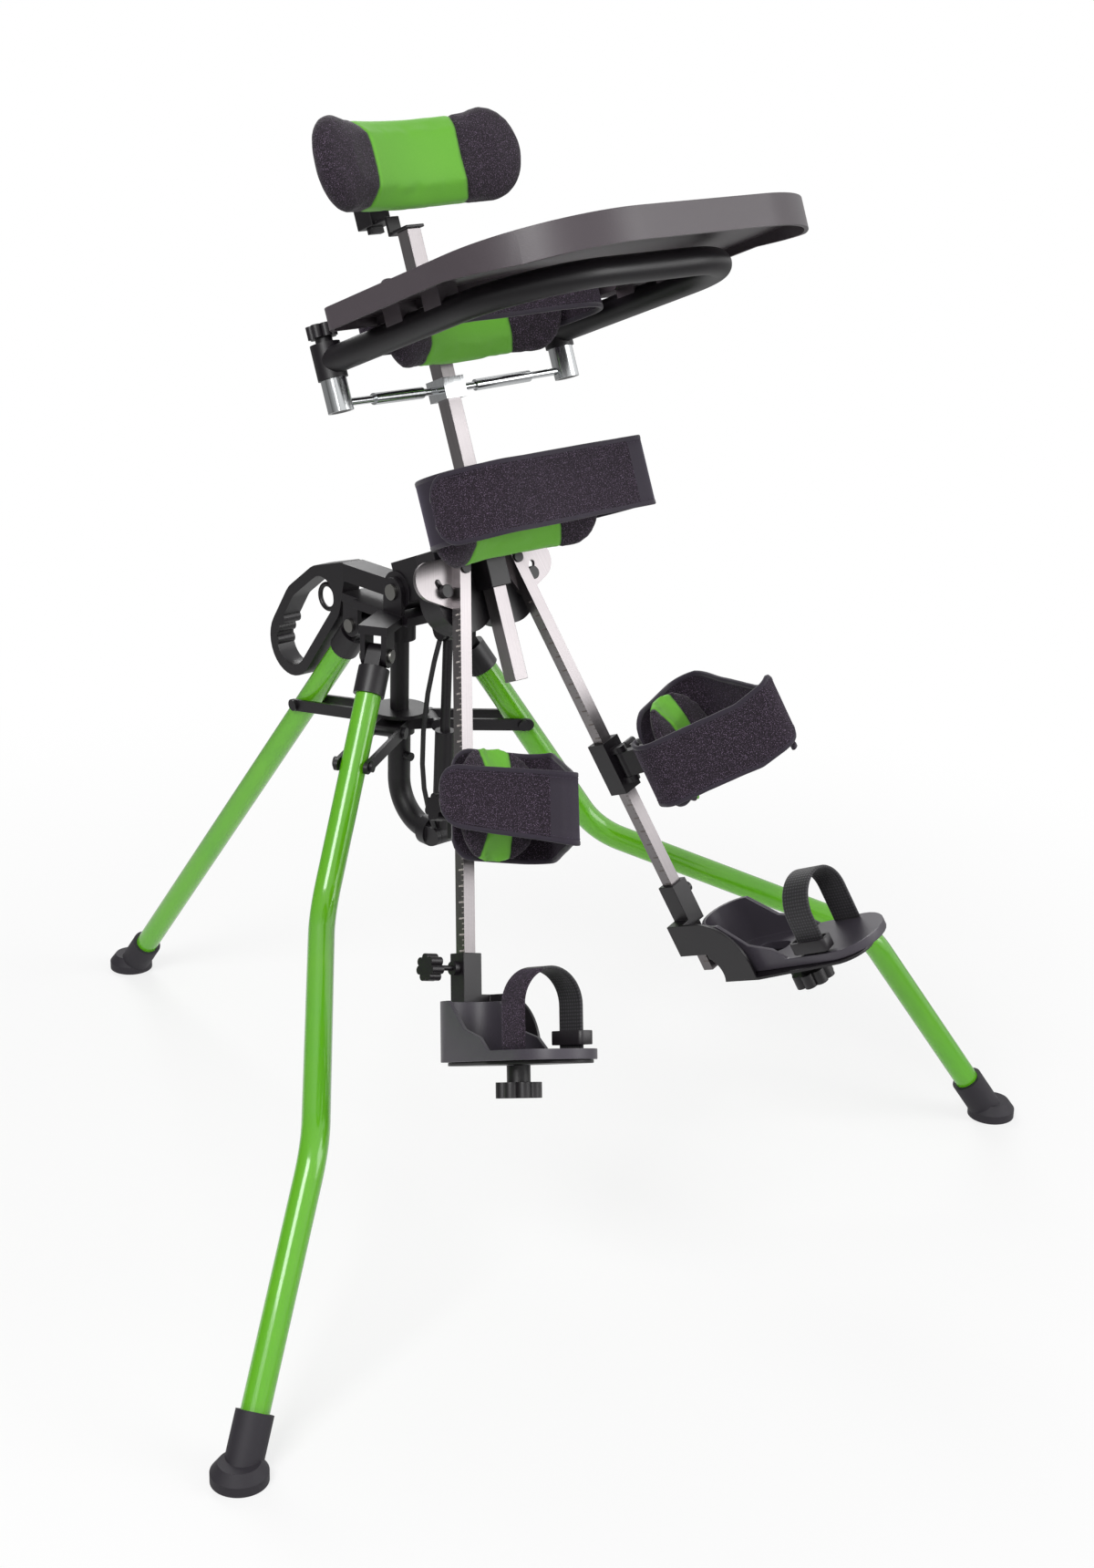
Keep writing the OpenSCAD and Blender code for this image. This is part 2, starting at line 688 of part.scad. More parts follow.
// Hip housing with its bar pivots and lock bolts
module hip_housing() color(black) in_tilt() {
    translate([0, -housing_back, 0]) rotate([90, 0, 0]) linear_extrude(housing_t) {
        for (s = [-1, 1]) translate([s * lobe_x, lobe_up]) circle(lobe_r);
        translate([-lobe_x - lobe_r + 8, lobe_up]) square([2 * (lobe_x + lobe_r - 8), 25 - lobe_up]);
    }
    for (s = [-1, 1]) on_side(s) translate([bar_x, 0, bar_up]) {
        ahead_rod(bar_pin_d, housing_front - 1, bar_ahead + bar_w / 2 + side_gap);
        ahead_rod(bar_pin_d + 5, bar_ahead + bar_w / 2 + side_gap, bar_ahead + bar_w / 2 + side_gap + 2);
        translate([lock_r * cos(lock_angle), 0, lock_r * sin(lock_angle)]) {
            ahead_rod(lock_d, housing_front - 1, bar_ahead - bar_w / 2 + side_gap);
            ahead_rod(13, bar_ahead - bar_w / 2 + side_gap, bar_ahead - bar_w / 2 + 6);
        }
    }
}
module mast_guide() color(black) in_tilt() difference() {
    ahead_block(guide_w / 2, mast_ahead - guide_w / 2, mast_ahead + guide_w / 2, guide_low, guide_high);
    mast_bore(guide_low, guide_high);
}
module mast_bore(low, high) ahead_block(mast_w / 2 + slide_gap,
    mast_ahead - mast_w / 2 - slide_gap, mast_ahead + mast_w / 2 + slide_gap, low - 1, high + 1);

// Mast
module mast_tube() color(silver) in_tilt() difference() {
    ahead_block(mast_w / 2, mast_ahead - mast_w / 2, mast_ahead + mast_w / 2, -mast_low, mast_high);
    ahead_block(mast_w / 2 - mast_wall, mast_ahead - mast_w / 2 + mast_wall,
        mast_ahead + mast_w / 2 - mast_wall, -mast_low - 1, mast_high + 1);
}
// Cap, bent strip and block that carry the headrest stem
module head_mount() color(black) in_tilt() difference() {
    riser = mast_ahead - mast_w / 2 - 14;
    union() {
        ahead_block(mast_w / 2 + 3, mast_ahead - mast_w / 2 - 3, mast_ahead + mast_w / 2 + 3,
            mast_high, mast_high + cap_t);
        ahead_block(mast_w / 2, riser, mast_ahead, mast_high, mast_high + cap_t);
        ahead_block(mast_w / 2, riser, riser + cap_t, mast_high, strip_low + cap_t);
        ahead_block(mast_w / 2, stem_ahead - block_half, riser + cap_t, strip_low, strip_low + cap_t);
        ahead_block(block_half, stem_ahead - block_half, stem_ahead + block_half,
            strip_low, strip_low + block_high);
    }
    ahead_block(stem_w / 2 + slide_gap,
        stem_ahead - stem_t / 2 - slide_gap, stem_ahead + stem_t / 2 + slide_gap,
        strip_low - 1, strip_low + block_high + 1);
}
module head_stem() color(black) in_tilt() {
    clamp_back = stem_ahead - 10;
    ahead_block(stem_w / 2, stem_ahead - stem_t / 2, stem_ahead + stem_t / 2, strip_low - 6, clamp_mid + 34);
    difference() {
        ahead_block(13, clamp_back, stem_ahead + 14, clamp_mid - 16, clamp_mid + 28);
        ahead_block(stem_w / 2, stem_ahead - stem_t / 2, stem_ahead + stem_t / 2,
            clamp_mid - 17, clamp_mid + 29);
    }
    for (s = [-1, 1]) {
        x = s > 0 ? lug_in : -lug_in - lug_t;
        translate([x, -pitch_ahead, clamp_mid]) along_x(14, 0, lug_t);
        translate([x, -pitch_ahead, clamp_mid - 7]) cube([lug_t, pitch_ahead - stem_ahead - 13.9, 14]);
    }
    translate([0, -pitch_ahead, clamp_mid]) along_x(knee_pin_d, -lug_in - 1, lug_in + 1);
    for (up = [clamp_mid - 4, clamp_mid + 20]) translate([0, -clamp_back, up]) rotate([-90, 0, 0]) {
        cylinder(d = 5, h = 26);
        translate([0, 0, 26]) star_knob(17, 10, 6);
    }
}
module head_plate() color(black) in_tilt() difference() {
    plate_back = pitch_ahead + 14;
    union() {
        translate([0, -pitch_ahead, clamp_mid]) along_x(14, -spring_eye_w / 2, spring_eye_w / 2);
        ahead_block(spring_eye_w / 2, pitch_ahead, plate_back + 1, clamp_mid - 6, clamp_mid + 6);
        ahead_block(44, plate_back, plate_back + bracket_t, head_up - 26, head_up + 30);
    }
    translate([0, -pitch_ahead, clamp_mid]) along_x(knee_pin_d + 2 * fit, -spring_eye_w, spring_eye_w);
}

// Padded cushions. A cushion follows an arc of radius wrap, its crowned face inside the arc.
// seam is the distance of the two sewn lines from the middle.
cushion_steps = 26;
cushion_sides = 20;
seam_dip = 0.1;
function pow_sign(v, e) = sign(v) * pow(abs(v), e);
function end_round(d, half, r) = d < half - r ? 1 : sqrt(max(0.02, 1 - pow((d - half + r) / r, 2)));
function seam_draw(d, seam) = 1 - seam_dip * exp(-pow((d - seam) / 5, 2));
function cushion_ring(d, half, height, t, wrap, seam) =
    let (turn = d / wrap * 180 / PI,
         shrink = end_round(abs(d), half, height * 0.42),
         deep = t / 2 * pow(shrink, 0.55) * seam_draw(abs(d), seam),
         tall = height / 2 * shrink * seam_draw(abs(d), seam) / 2 + height / 4 * shrink,
         mid = wrap - t / 2)
    [for (k = [0 : cushion_sides - 1])
        let (a = 360 * (k + 0.5) / cushion_sides,
             r = mid - deep * pow_sign(cos(a), 0.8),
             z = tall * pow_sign(sin(a), 0.6))
        [r * sin(turn), -(wrap - r * cos(turn)), z]];
// The back of the cushion's middle is at the local origin and its face points along -Y
module cushion(w, height, t, wrap, seam) {
    n = cushion_sides;
    m = cushion_steps;
    half = w / 2;
    points = [for (i = [0 : m]) each cushion_ring(half * (2 * i / m - 1), half, height, t, wrap, seam)];
    walls = [for (i = [0 : m - 1], k = [0 : n - 1]) each let (l = (k + 1) % n)
        [[i * n + k, i * n + l, (i + 1) * n + l], [i * n + k, (i + 1) * n + l, (i + 1) * n + k]]];
    ends = [for (k = [1 : n - 2]) each
        [[0, k + 1, k], [m * n, m * n + k, m * n + k + 1]]];
    polyhedron(points, concat(walls, ends), convexity = 6);
}
// A closed strap band from a 2-D outline, with its middle height at zero
module band(height) linear_extrude(height, center = true) difference() {
    children();
    offset(delta = -strap_t) children();
}
// A loop with round corners, from the local origin forward
module loop_outline(w, deep, back_r, front_r) hull() for (s = [-1, 1]) {
    translate([s * (w / 2 - back_r), -back_r]) circle(back_r, $fn = hull_fn);
    translate([s * (w / 2 - front_r), -deep + front_r]) circle(front_r, $fn = hull_fn);
}
green_half = 61;
module place_support(back, up) in_tilt() translate([0, -back, up]) children();

// Hip support
hip_wrap = 200;
hip_pad_drop = 10;
module hip_bracket() color(black) in_tilt() {
    ahead_block(40, hip_back, hip_back + bracket_t, hip_up - 22, hip_up + 22);
    for (s = [-1, 1]) on_side(s) translate([guide_w / 2 + side_gap, -hip_back - 1, hip_up - 15])
        cube([bracket_t, 19, 30]);
}
module hip_strap() color(fabric) place_support(hip_back + bracket_t + soft_gap, hip_up + 2)
    band(hip_strap_h) loop_outline(hip_loop_w, hip_loop, 58, 30);
module hip_pad() color(pad_green)
    place_support(hip_back + bracket_t + 2 * soft_gap + strap_t, hip_up - hip_pad_drop)
        cushion(hip_pad_w, hip_pad_h, pad_t, hip_wrap, green_half);

// Chest support
chest_wrap = 170;
module chest_bracket() color(black) in_tilt() difference() {
    union() {
        ahead_block(guide_w / 2, mast_ahead - guide_w / 2, chest_back,
            chest_up - chest_sleeve / 2, chest_up + chest_sleeve / 2);
        ahead_block(40, chest_back - 0.1, chest_back + bracket_t, chest_up - 22, chest_up + 22);
    }
    mast_bore(chest_up - chest_sleeve, chest_up + chest_sleeve);
}
module chest_strap() color(fabric) place_support(chest_back + bracket_t + soft_gap, chest_up + 4)
    band(chest_strap_h) loop_outline(chest_loop_w, chest_loop, 44, 56);
module chest_pad() color(pad_green) place_support(chest_back + bracket_t + 2 * soft_gap + strap_t, chest_up)
    cushion(chest_pad_w, chest_pad_h, pad_t, chest_wrap, green_half - 3);

// Head pad
head_wrap = 215;
module head_pad() color(pad_green) place_support(pitch_ahead + 14 + bracket_t + soft_gap, head_up)
    cushion(head_pad_w, head_pad_h, head_pad_t, head_wrap, green_half + 1);

// Star knob with its axis on Z
module star_knob(d, h, lobes) linear_extrude(h) {
    lobe = d * 0.16;
    circle(r = d / 2 - lobe);
    for (i = [0 : lobes - 1]) rotate(360 * (i + 0.5) / lobes) translate([d / 2 - lobe, 0]) circle(r = lobe);
}

// Tray support: mast clamp, stepped rods and posts in one welded piece
rod_from = clamp_w / 2 - 1;
rod_turn = atan2(post_ahead - mast_ahead, post_x - rod_from);
rod_len = norm([post_x - rod_from, post_ahead - mast_ahead]) - tray_post_d / 2 + 1;
module tray_arm() color(chrome) in_tilt() difference() {
    union() {
        ahead_block(clamp_w / 2, mast_ahead - clamp_w / 2, mast_ahead + clamp_w / 2,
            rod_up - rod_block / 2, rod_up + rod_block / 2);
        for (s = [-1, 1]) on_side(s) {
            translate([rod_from, -mast_ahead, rod_up]) rotate([0, 0, -rod_turn]) {
                along_x(rod_d, 0, rod_len);
                along_x(rod_thick_d, rod_len * 0.18, rod_len * 0.72);
            }
            translate([post_x, -post_ahead, rod_up - 8])
                cylinder(d = tray_post_d, h = clamp_low - side_gap - rod_up + 8);
        }
    }
    mast_bore(rod_up - rod_block, rod_up + rod_block);
    for (s = [-1, 1]) translate([s * post_x, -post_ahead, rod_up - 9])
        cylinder(d = shaft_d + 2 * fit, h = clamp_low - rod_up + 20);
}
module tray_clamp_pair() for (s = [-1, 1]) translate([s * post_x, -post_ahead, 0]) {
    translate([0, 0, clamp_low]) cylinder(d = clamp_d, h = clamp_top - clamp_low);
    translate([0, 0, rod_up - 8]) cylinder(d = shaft_d, h = clamp_low - rod_up + 9);
}
module tray_knob() color(black) in_tilt() translate([post_x, -post_ahead, clamp_top + side_gap]) {
    cylinder(d = 16, h = 5);
    translate([0, 0, 5]) star_knob(28, 12, 7);
}
module right_tray_knob() on_side(-1) tray_knob();
module left_tray_knob() on_side(1) tray_knob();
tube_bend = 90;
module tray_tube() color(black) in_tilt() {
    tray_clamp_pair();
    tray_bow();
}
module tray_bow() difference() {
    tube_run([[-post_x, -post_ahead, tray_tube_up], [-post_x, -tray_tube_front, tray_tube_up],
              [post_x, -tray_tube_front, tray_tube_up], [post_x, -post_ahead, tray_tube_up]],
        tray_tube_d, 2, tube_bend);
    for (s = [-1, 1]) translate([s * post_x, -post_ahead, tray_tube_up - 30])
        cylinder(d = clamp_d + 2 * fit, h = 60);
}
// Tray: deck, rim with a deeper front apron, body cut-out and four saddles on the tube
cut_half = 128;
cut_deep = 128;
rear_corner = 14;
tray_skirt = 8;
function arc_points(x, y, r, from, n) = [for (i = [0 : n])
    [x + r * cos(from + 90 * i / n), y + r * sin(from + 90 * i / n)]];
module tray_outline(less) offset(delta = -less) difference() {
    front_x = tray_w / 2 - tray_corner;
    rear_x = tray_w / 2 - rear_corner;
    polygon(concat(
        arc_points(-rear_x, -tray_rear - rear_corner, rear_corner, 90, 5),
        arc_points(-front_x, -tray_front + tray_corner, tray_corner, 180, 18),
        arc_points(front_x, -tray_front + tray_corner, tray_corner, 270, 18),
        arc_points(rear_x, -tray_rear - rear_corner, rear_corner, 0, 5)));
    hull() for (s = [-1, 1]) {
        translate([s * (cut_half - 70), -tray_rear - cut_deep + 70]) circle(70, $fn = hull_fn);
        translate([s * (cut_half - 10), -tray_rear + 1]) circle(10, $fn = hull_fn);
    }
}
// The rim seen from the side: its lower edge falls from the sides to the front apron
module rim_profile() polygon([
    [-tray_rear + 1, deck_low - tray_skirt], [-tray_front + 128, deck_low - tray_skirt],
    [-tray_front + 50, deck_low - tray_apron], [-tray_front - 1, deck_low - tray_apron],
    [-tray_front - 1, deck_low + tray_wall + tray_lip], [-tray_rear + 1, deck_low + tray_wall + tray_lip]]);
module tray() color(black) in_tilt() {
    translate([0, 0, deck_low]) linear_extrude(tray_wall) tray_outline(0.1);
    intersection() {
        translate([0, 0, deck_low - 2 * tray_apron])
            linear_extrude(3 * tray_apron + 2 * tray_lip) difference() {
                tray_outline(0);
                tray_outline(tray_wall);
            }
        rotate([90, 0, 90]) linear_extrude(tray_w + 2, center = true) rim_profile();
    }
    for (s = [-1, 1], ahead = [tray_rear + 50, tray_tube_front - tube_bend - 20]) difference() {
        translate([s * post_x - 11, -ahead - 12, tray_tube_up + 4])
            cube([22, 24, deck_low - tray_tube_up - 3.9]);
        translate([s * post_x, -ahead + 20, tray_tube_up]) rotate([90, 0, 0])
            cylinder(d = tray_tube_d + 2 * fit, h = 40);
    }
}

// Leg bars, drawn on the left and mirrored
quadrant = [[0, 0, 13], [30, -15, 19], [2, -31, 8]];
module leg_bar() color(silver) in_bar() difference() {
    union() {
        translate([-bar_w / 2, -bar_w / 2, -bar_len]) cube([bar_w, bar_w, bar_len + bar_head]);
        translate([0, bar_w / 2 + quadrant_t, 0]) rotate([90, 0, 0]) linear_extrude(quadrant_t + 0.1) hull()
            for (c = quadrant) translate([c[0], c[1]]) circle(c[2], $fn = hull_fn);
    }
    translate([0, bar_w, 0]) rotate([90, 0, 0]) cylinder(d = bar_pin_d + 2 * fit, h = 2 * bar_w);
    rotate([90, 0, 0]) translate([0, 0, -bar_w / 2 - quadrant_t - 1])
        linear_extrude(quadrant_t + 2) lock_slot();
}
module lock_slot() {
    slot_w = lock_d + 0.8;
    mid = lock_angle - abduction;
    difference() {
        intersection() {
            circle(r = lock_r + slot_w / 2);
            polygon([[0, 0], for (k = [0 : 4])
                2 * lock_r * slot_dir(mid + lock_reach[0] + k / 4 * (lock_reach[1] - lock_reach[0]))]);
        }
        circle(r = lock_r - slot_w / 2);
    }
    for (k = [0, 1]) translate(lock_r * slot_dir(mid + lock_reach[k])) circle(d = slot_w);
}
function slot_dir(a) = [cos(a), sin(a)];
module right_leg_bar() on_side(-1) leg_bar();
module left_leg_bar() on_side(1) leg_bar();

// A square sleeve round the bar between two distances down it
module bar_sleeve(outer, from, to) difference() {
    translate([-outer, -outer, -to]) cube([2 * outer, 2 * outer, to - from]);
    bar_bore(from, to);
}
module bar_bore(from, to) translate([-bar_w / 2 - slide_gap, -bar_w / 2 - slide_gap, -to - 1])
    cube([bar_w + 2 * slide_gap, bar_w + 2 * slide_gap, to - from + 2]);

// Knee support
module knee_clamp() color(black) in_bar() {
    bar_sleeve(knee_out, knee_at - knee_clamp_len / 2, knee_at + knee_clamp_len / 2);
    for (s = [-1, 1]) {
        z = -knee_at + (s > 0 ? ear_in : -ear_in - ear_t);
        translate([0, -knee_pin, z]) cylinder(r = ear_r, h = ear_t);
        translate([-ear_r, -knee_pin, z]) cube([2 * ear_r, ear_r + 0.1, ear_t]);
    }
    translate([0, -knee_pin, -knee_at - ear_in - 1]) cylinder(d = knee_pin_d, h = 2 * ear_in + 2);
    translate([knee_out - 0.1, 0, -knee_at]) side_knob(knee_stud);
}
module side_knob(stud) rotate([0, 90, 0]) {
    cylinder(d = 13, h = 6);
    cylinder(d = 5, h = stud);
    translate([0, 0, stud - 0.1]) star_knob(knob_d, knob_h, 7);
}
module in_knee(swivel) in_bar() translate([0, -knee_pin, -knee_at]) rotate([0, 0, swivel]) children();
module knee_link(reach, swivel) color(black) in_knee(swivel) difference() {
    union() {
        translate([0, 0, -ear_in + side_gap]) cylinder(r = ear_r - 0.5, h = 2 * ear_in - 2 * side_gap);
        translate([-5, -reach + 1, -ear_in + side_gap]) cube([10, reach - 1, 2 * ear_in - 2 * side_gap]);
        translate([-26, -reach, -22]) cube([52, bracket_t, 44]);
    }
    translate([0, 0, -2 * ear_in]) cylinder(d = knee_pin_d + 2 * fit, h = 4 * ear_in);
}
knee_wrap = 84;
knee_half = 64;
// The cuff's strap falls from nearly the pad's height at the back to its own height at the tip
module cuff_profile() {
    back = knee_pad_h / 2 - 4;
    tip = knee_strap_h / 2;
    polygon([[1, back], [-24, back], [-knee_loop + 26, tip], [-knee_loop - 1, tip],
             [-knee_loop - 1, -tip], [-knee_loop + 26, -tip], [-24, -back], [1, -back]]);
}
module knee_cuff(reach, swivel) in_knee(swivel) translate([0, -reach - soft_gap, 0]) {
    color(fabric) intersection() {
        band(knee_pad_h) hull() {
            translate([knee_half - 22, -22]) circle(22, $fn = hull_fn);
            translate([-knee_half + 22, -22]) circle(22, $fn = hull_fn);
            translate([0, -knee_loop + 12]) circle(12, $fn = hull_fn);
        }
        rotate([90, 0, 90]) linear_extrude(2 * knee_half + 2, center = true) cuff_profile();
    }
    color(pad_green) translate([0, -strap_t - soft_gap, 0])
        cushion(knee_pad_w, knee_pad_h, knee_pad_t, knee_wrap, 19);
}
module right_knee_clamp() on_side(-1) knee_clamp();
module left_knee_clamp() on_side(1) knee_clamp();
module right_knee_link() on_side(-1) knee_link(knee_reach_right, 0);
module left_knee_link() on_side(1) knee_link(knee_reach_left, knee_swivel_left);
module right_knee_cuff() on_side(-1) knee_cuff(knee_reach_right, 0);
module left_knee_cuff() on_side(1) knee_cuff(knee_reach_left, knee_swivel_left);

// Foot support: sleeve, medial side plate, foot plate and the boss the sandal turns on, in one welded piece
elbow_r = 52;
sole_boss_d = 16;
sole_boss_h = sole_t - 4;
heel_clear = 12;
heel_end = sole_ahead - heel_clear;
module foot_bracket() color(black) in_bar() {
    arm_top = foot_at + foot_sleeve - 8;
    bar_sleeve(foot_out, foot_at, foot_at + foot_sleeve);
    translate([-side_plate - plate_t, -foot_out, -foot_at - foot_sleeve])
        cube([side_plate + plate_t - foot_out + 0.1, 2 * foot_out, 8]);
    translate([-side_plate, 0, 0]) rotate([90, 0, -90]) linear_extrude(plate_t) side_profile(arm_top);
    difference() {
        translate([0, 0, -plate_at - plate_t]) linear_extrude(plate_t) hull() {
            translate([-side_plate - plate_t, -82]) square([10, 42]);
            translate([sole_out, -sole_ahead]) circle(34, $fn = hull_fn);
            translate([sole_out, -heel_clear - sandal_len + 34]) circle(28, $fn = hull_fn);
            translate([sole_out, -heel_clear - 30]) circle(24, $fn = hull_fn);
        }
        translate([sole_out, -sole_ahead, -plate_at - plate_t - 1])
            cylinder(d = stud_d + 2 * fit, h = plate_t + 2);
    }
    translate([sole_out, -sole_ahead, -plate_at - 0.1]) cylinder(d = sole_boss_d, h = sole_boss_h + 0.1);
}
// Side plate seen from the middle: distance ahead to the right, the bar's length downward
module side_profile(top) {
    low = plate_at + plate_t;
    translate([-foot_out, -top - 34]) square([28 + foot_out, 34]);
    difference() {
        intersection() {
            translate([28, -top - elbow_r]) circle(elbow_r);
            translate([28, -low]) square([elbow_r + 10, low - top + 1]);
        }
        translate([18, -top - elbow_r - 4]) circle(20);
    }
    translate([38, -low]) square([elbow_r - 10, low - top - elbow_r + 0.1]);
}
module right_foot_bracket() on_side(-1) foot_bracket();
module left_foot_bracket() on_side(1) foot_bracket();
module foot_knob() color(black) in_bar() translate([foot_out + side_gap, 0, -foot_at - 14])
    side_knob(foot_stud);
module right_foot_knob() on_side(-1) foot_knob();
// The left sleeve is held by a short bolt with a hexagon socket
module left_foot_knob() color(black) on_side(1) in_bar() translate([foot_out + side_gap, 0, -foot_at - 14])
    rotate([0, 90, 0]) difference() {
        cylinder(d = 11, h = 7);
        translate([0, 0, 3]) cylinder(d = 6, h = 5, $fn = 6);
    }

module in_sole(turn) in_bar() translate([sole_out, -sole_ahead, 0]) rotate([0, 0, turn]) children();
module sole_shape(less) hull() {
    translate([0, heel_end - heel_w / 2]) circle(heel_w / 2 - less, $fn = hull_fn);
    translate([6, heel_end - sandal_len + sandal_w / 2]) circle(sandal_w / 2 - less, $fn = hull_fn);
    translate([2, -10]) circle(heel_w / 2 + 2 - less, $fn = hull_fn);
}
// Sandal: sole with an oval window, heel cup with two slots that falls to a low edge at the toes
module sandal(turn) color(black) in_sole(turn) difference() {
    union() {
        translate([0, 0, -sole_low]) linear_extrude(sole_t) sole_shape(0);
        intersection() {
            translate([0, 0, -sole_top - 0.1]) linear_extrude(cup_h) difference() {
                sole_shape(0);
                sole_shape(4);
            }
            translate([-sandal_w, 0, 0]) rotate([90, 0, 90]) linear_extrude(2 * sandal_w)
                polygon([[sandal_len, -sole_top - 1], [sandal_len, -sole_top + cup_h],
                         [60, -sole_top + cup_h], [34, -sole_top + 20], [8, -sole_top + 12],
                         [-6, -sole_top - 1]]);
        }
    }
    translate([0, 26, -sole_low - 1]) linear_extrude(sole_t + 2) hull() {
        translate([0, 16]) circle(13, $fn = hull_fn);
        translate([0, -4]) circle(10, $fn = hull_fn);
    }
    translate([0, 0, -sole_low - 1]) cylinder(d = sole_boss_d + 2 * fit, h = 1 + sole_boss_h);
    for (s = [-1, 1]) translate([s * 20, 0, -sole_top + 12]) rotate([90, 0, -s * 24])
        translate([0, 0, -sandal_len]) linear_extrude(sandal_len - 50)
            translate([-3, 0]) square([6, cup_h - 20]);
}
module right_sandal() on_side(-1) sandal(0);
module left_sandal() on_side(1) sandal(toe_out_left);
strap_half = 34;
foot_strap_t = 3;
module foot_strap(turn) color(fabric) in_sole(turn) translate([4, -24, -sole_top + soft_gap]) {
    rise = foot_strap_h - strap_half;
    rotate([90, 0, 0]) linear_extrude(foot_strap_w) difference() {
        union() {
            translate([0, rise]) circle(strap_half);
            translate([-strap_half, 0]) square([2 * strap_half, rise]);
        }
        translate([0, rise]) circle(strap_half - foot_strap_t);
        translate([-strap_half + foot_strap_t, -1]) square([2 * (strap_half - foot_strap_t), rise + 1]);
    }
    translate([-strap_half + foot_strap_t / 2, -foot_strap_w / 2, 9]) difference() {
        cube([12, foot_strap_w + 10, 7], center = true);
        cube([foot_strap_t + 2 * soft_gap, foot_strap_w + 2 * soft_gap, 20], center = true);
    }
}
module right_foot_strap() on_side(-1) foot_strap(0);
module left_foot_strap() on_side(1) foot_strap(toe_out_left);
module sole_knob() color(black) in_bar() translate([sole_out, -sole_ahead, -plate_at - plate_t - side_gap]) {
    translate([0, 0, -15]) cylinder(d = 21, h = 15);
    translate([0, 0, -29]) star_knob(sole_knob_d, 14.1, 8);
    translate([0, 0, -1]) cylinder(d = stud_d, h = 1 + plate_t - side_gap);
}
module right_sole_knob() on_side(-1) sole_knob();
module left_sole_knob() on_side(1) sole_knob();

hub_bracket();
hub_pins();
centre_post();
j_tube();
spring_clamp();
release_cable();
collar();
rear_leg_tube();
rear_leg_socket();
rear_leg_foot();
rear_strut_bars();
right_leg_tube();
right_leg_socket();
right_leg_foot();
right_strut_bars();
left_leg_tube();
left_leg_socket();
left_leg_foot();
left_strut_bars();
tilt_head();
handle();
pull_ring();
gas_cylinder();
gas_rod();
hip_housing();
mast_guide();
hip_bracket();
hip_pad();
hip_strap();
mast_tube();
head_mount();
head_stem();
head_plate();
head_pad();
chest_bracket();
chest_pad();
chest_strap();
tray_arm();
tray_tube();
tray();
right_tray_knob();
left_tray_knob();
right_leg_bar();
right_knee_clamp();
right_knee_link();
right_knee_cuff();
right_foot_bracket();
right_foot_knob();
right_sandal();
right_foot_strap();
right_sole_knob();
left_leg_bar();
left_knee_clamp();
left_knee_link();
left_knee_cuff();
left_foot_bracket();
left_foot_knob();
left_sandal();
left_foot_strap();
left_sole_knob();
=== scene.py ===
# %% [markdown]
# # A standing frame, dressed in Blender
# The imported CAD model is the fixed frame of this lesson. Everything below either gives a CAD piece a
# better surface or replaces a soft solid with cloth, and then lets it ride on the body that carries it.

# %% Load the frame
import json
import math
import bmesh
import bpy
from mathutils import Matrix, Vector, noise


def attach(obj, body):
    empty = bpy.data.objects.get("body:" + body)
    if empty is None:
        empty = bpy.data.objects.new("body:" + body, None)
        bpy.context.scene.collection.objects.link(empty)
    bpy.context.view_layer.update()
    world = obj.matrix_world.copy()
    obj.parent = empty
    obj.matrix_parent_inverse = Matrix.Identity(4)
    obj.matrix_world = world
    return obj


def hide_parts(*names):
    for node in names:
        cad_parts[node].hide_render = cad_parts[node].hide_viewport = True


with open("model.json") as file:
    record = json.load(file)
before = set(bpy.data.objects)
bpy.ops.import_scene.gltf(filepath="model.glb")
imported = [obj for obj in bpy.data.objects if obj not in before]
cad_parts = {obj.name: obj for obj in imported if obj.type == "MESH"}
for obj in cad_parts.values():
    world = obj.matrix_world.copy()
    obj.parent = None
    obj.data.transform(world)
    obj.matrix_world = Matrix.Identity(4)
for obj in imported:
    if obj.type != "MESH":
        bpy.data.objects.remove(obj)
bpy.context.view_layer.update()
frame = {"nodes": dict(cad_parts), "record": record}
MM = 0.001

# %% [markdown]
# ## Frames of reference
# The mast leans and each leg bar spreads, so pieces are drawn in the frame of what carries them. The
# record's joints give those frames, which keeps this file in step with the CAD model.

# %% Frames from the joints
joint = {j["name"]: j for j in frame["record"]["behaviour"]["joints"]}
body_of = {n: b for b, nodes in frame["record"]["behaviour"]["bodies"].items() for n in nodes}


def frame_matrix(x, y, z, at):
    m = Matrix((x, y, z)).transposed().to_4x4()
    m.translation = at
    return m


leftward = Vector((1, 0, 0))
mast_up = Vector(joint["mast_slide"]["axis"])
ahead = leftward.cross(mast_up)
mast_frame = frame_matrix(leftward, -ahead, mast_up, Vector(joint["mast_tilt"]["pos_m"]))
bar_up = -Vector(joint["left_knee_slide"]["axis"])
bar_frame = frame_matrix((-ahead).cross(bar_up), -ahead, bar_up, Vector(joint["left_abduction"]["pos_m"]))
across_middle = Matrix.Scale(-1, 4, leftward)


def side_frame(side):
    """The leg bar's frame; the right one is the left one mirrored."""
    return bar_frame if side == "left" else across_middle @ bar_frame


print("mast leans", round(math.degrees(math.acos(mast_up.z)), 1), "degrees")

# %% [markdown]
# ## Camera
# The place, turn and lens were solved from the photo: the round feet, the upright post and the straight
# leg bars each give a line that only one camera sees that way. Camera before everything else.

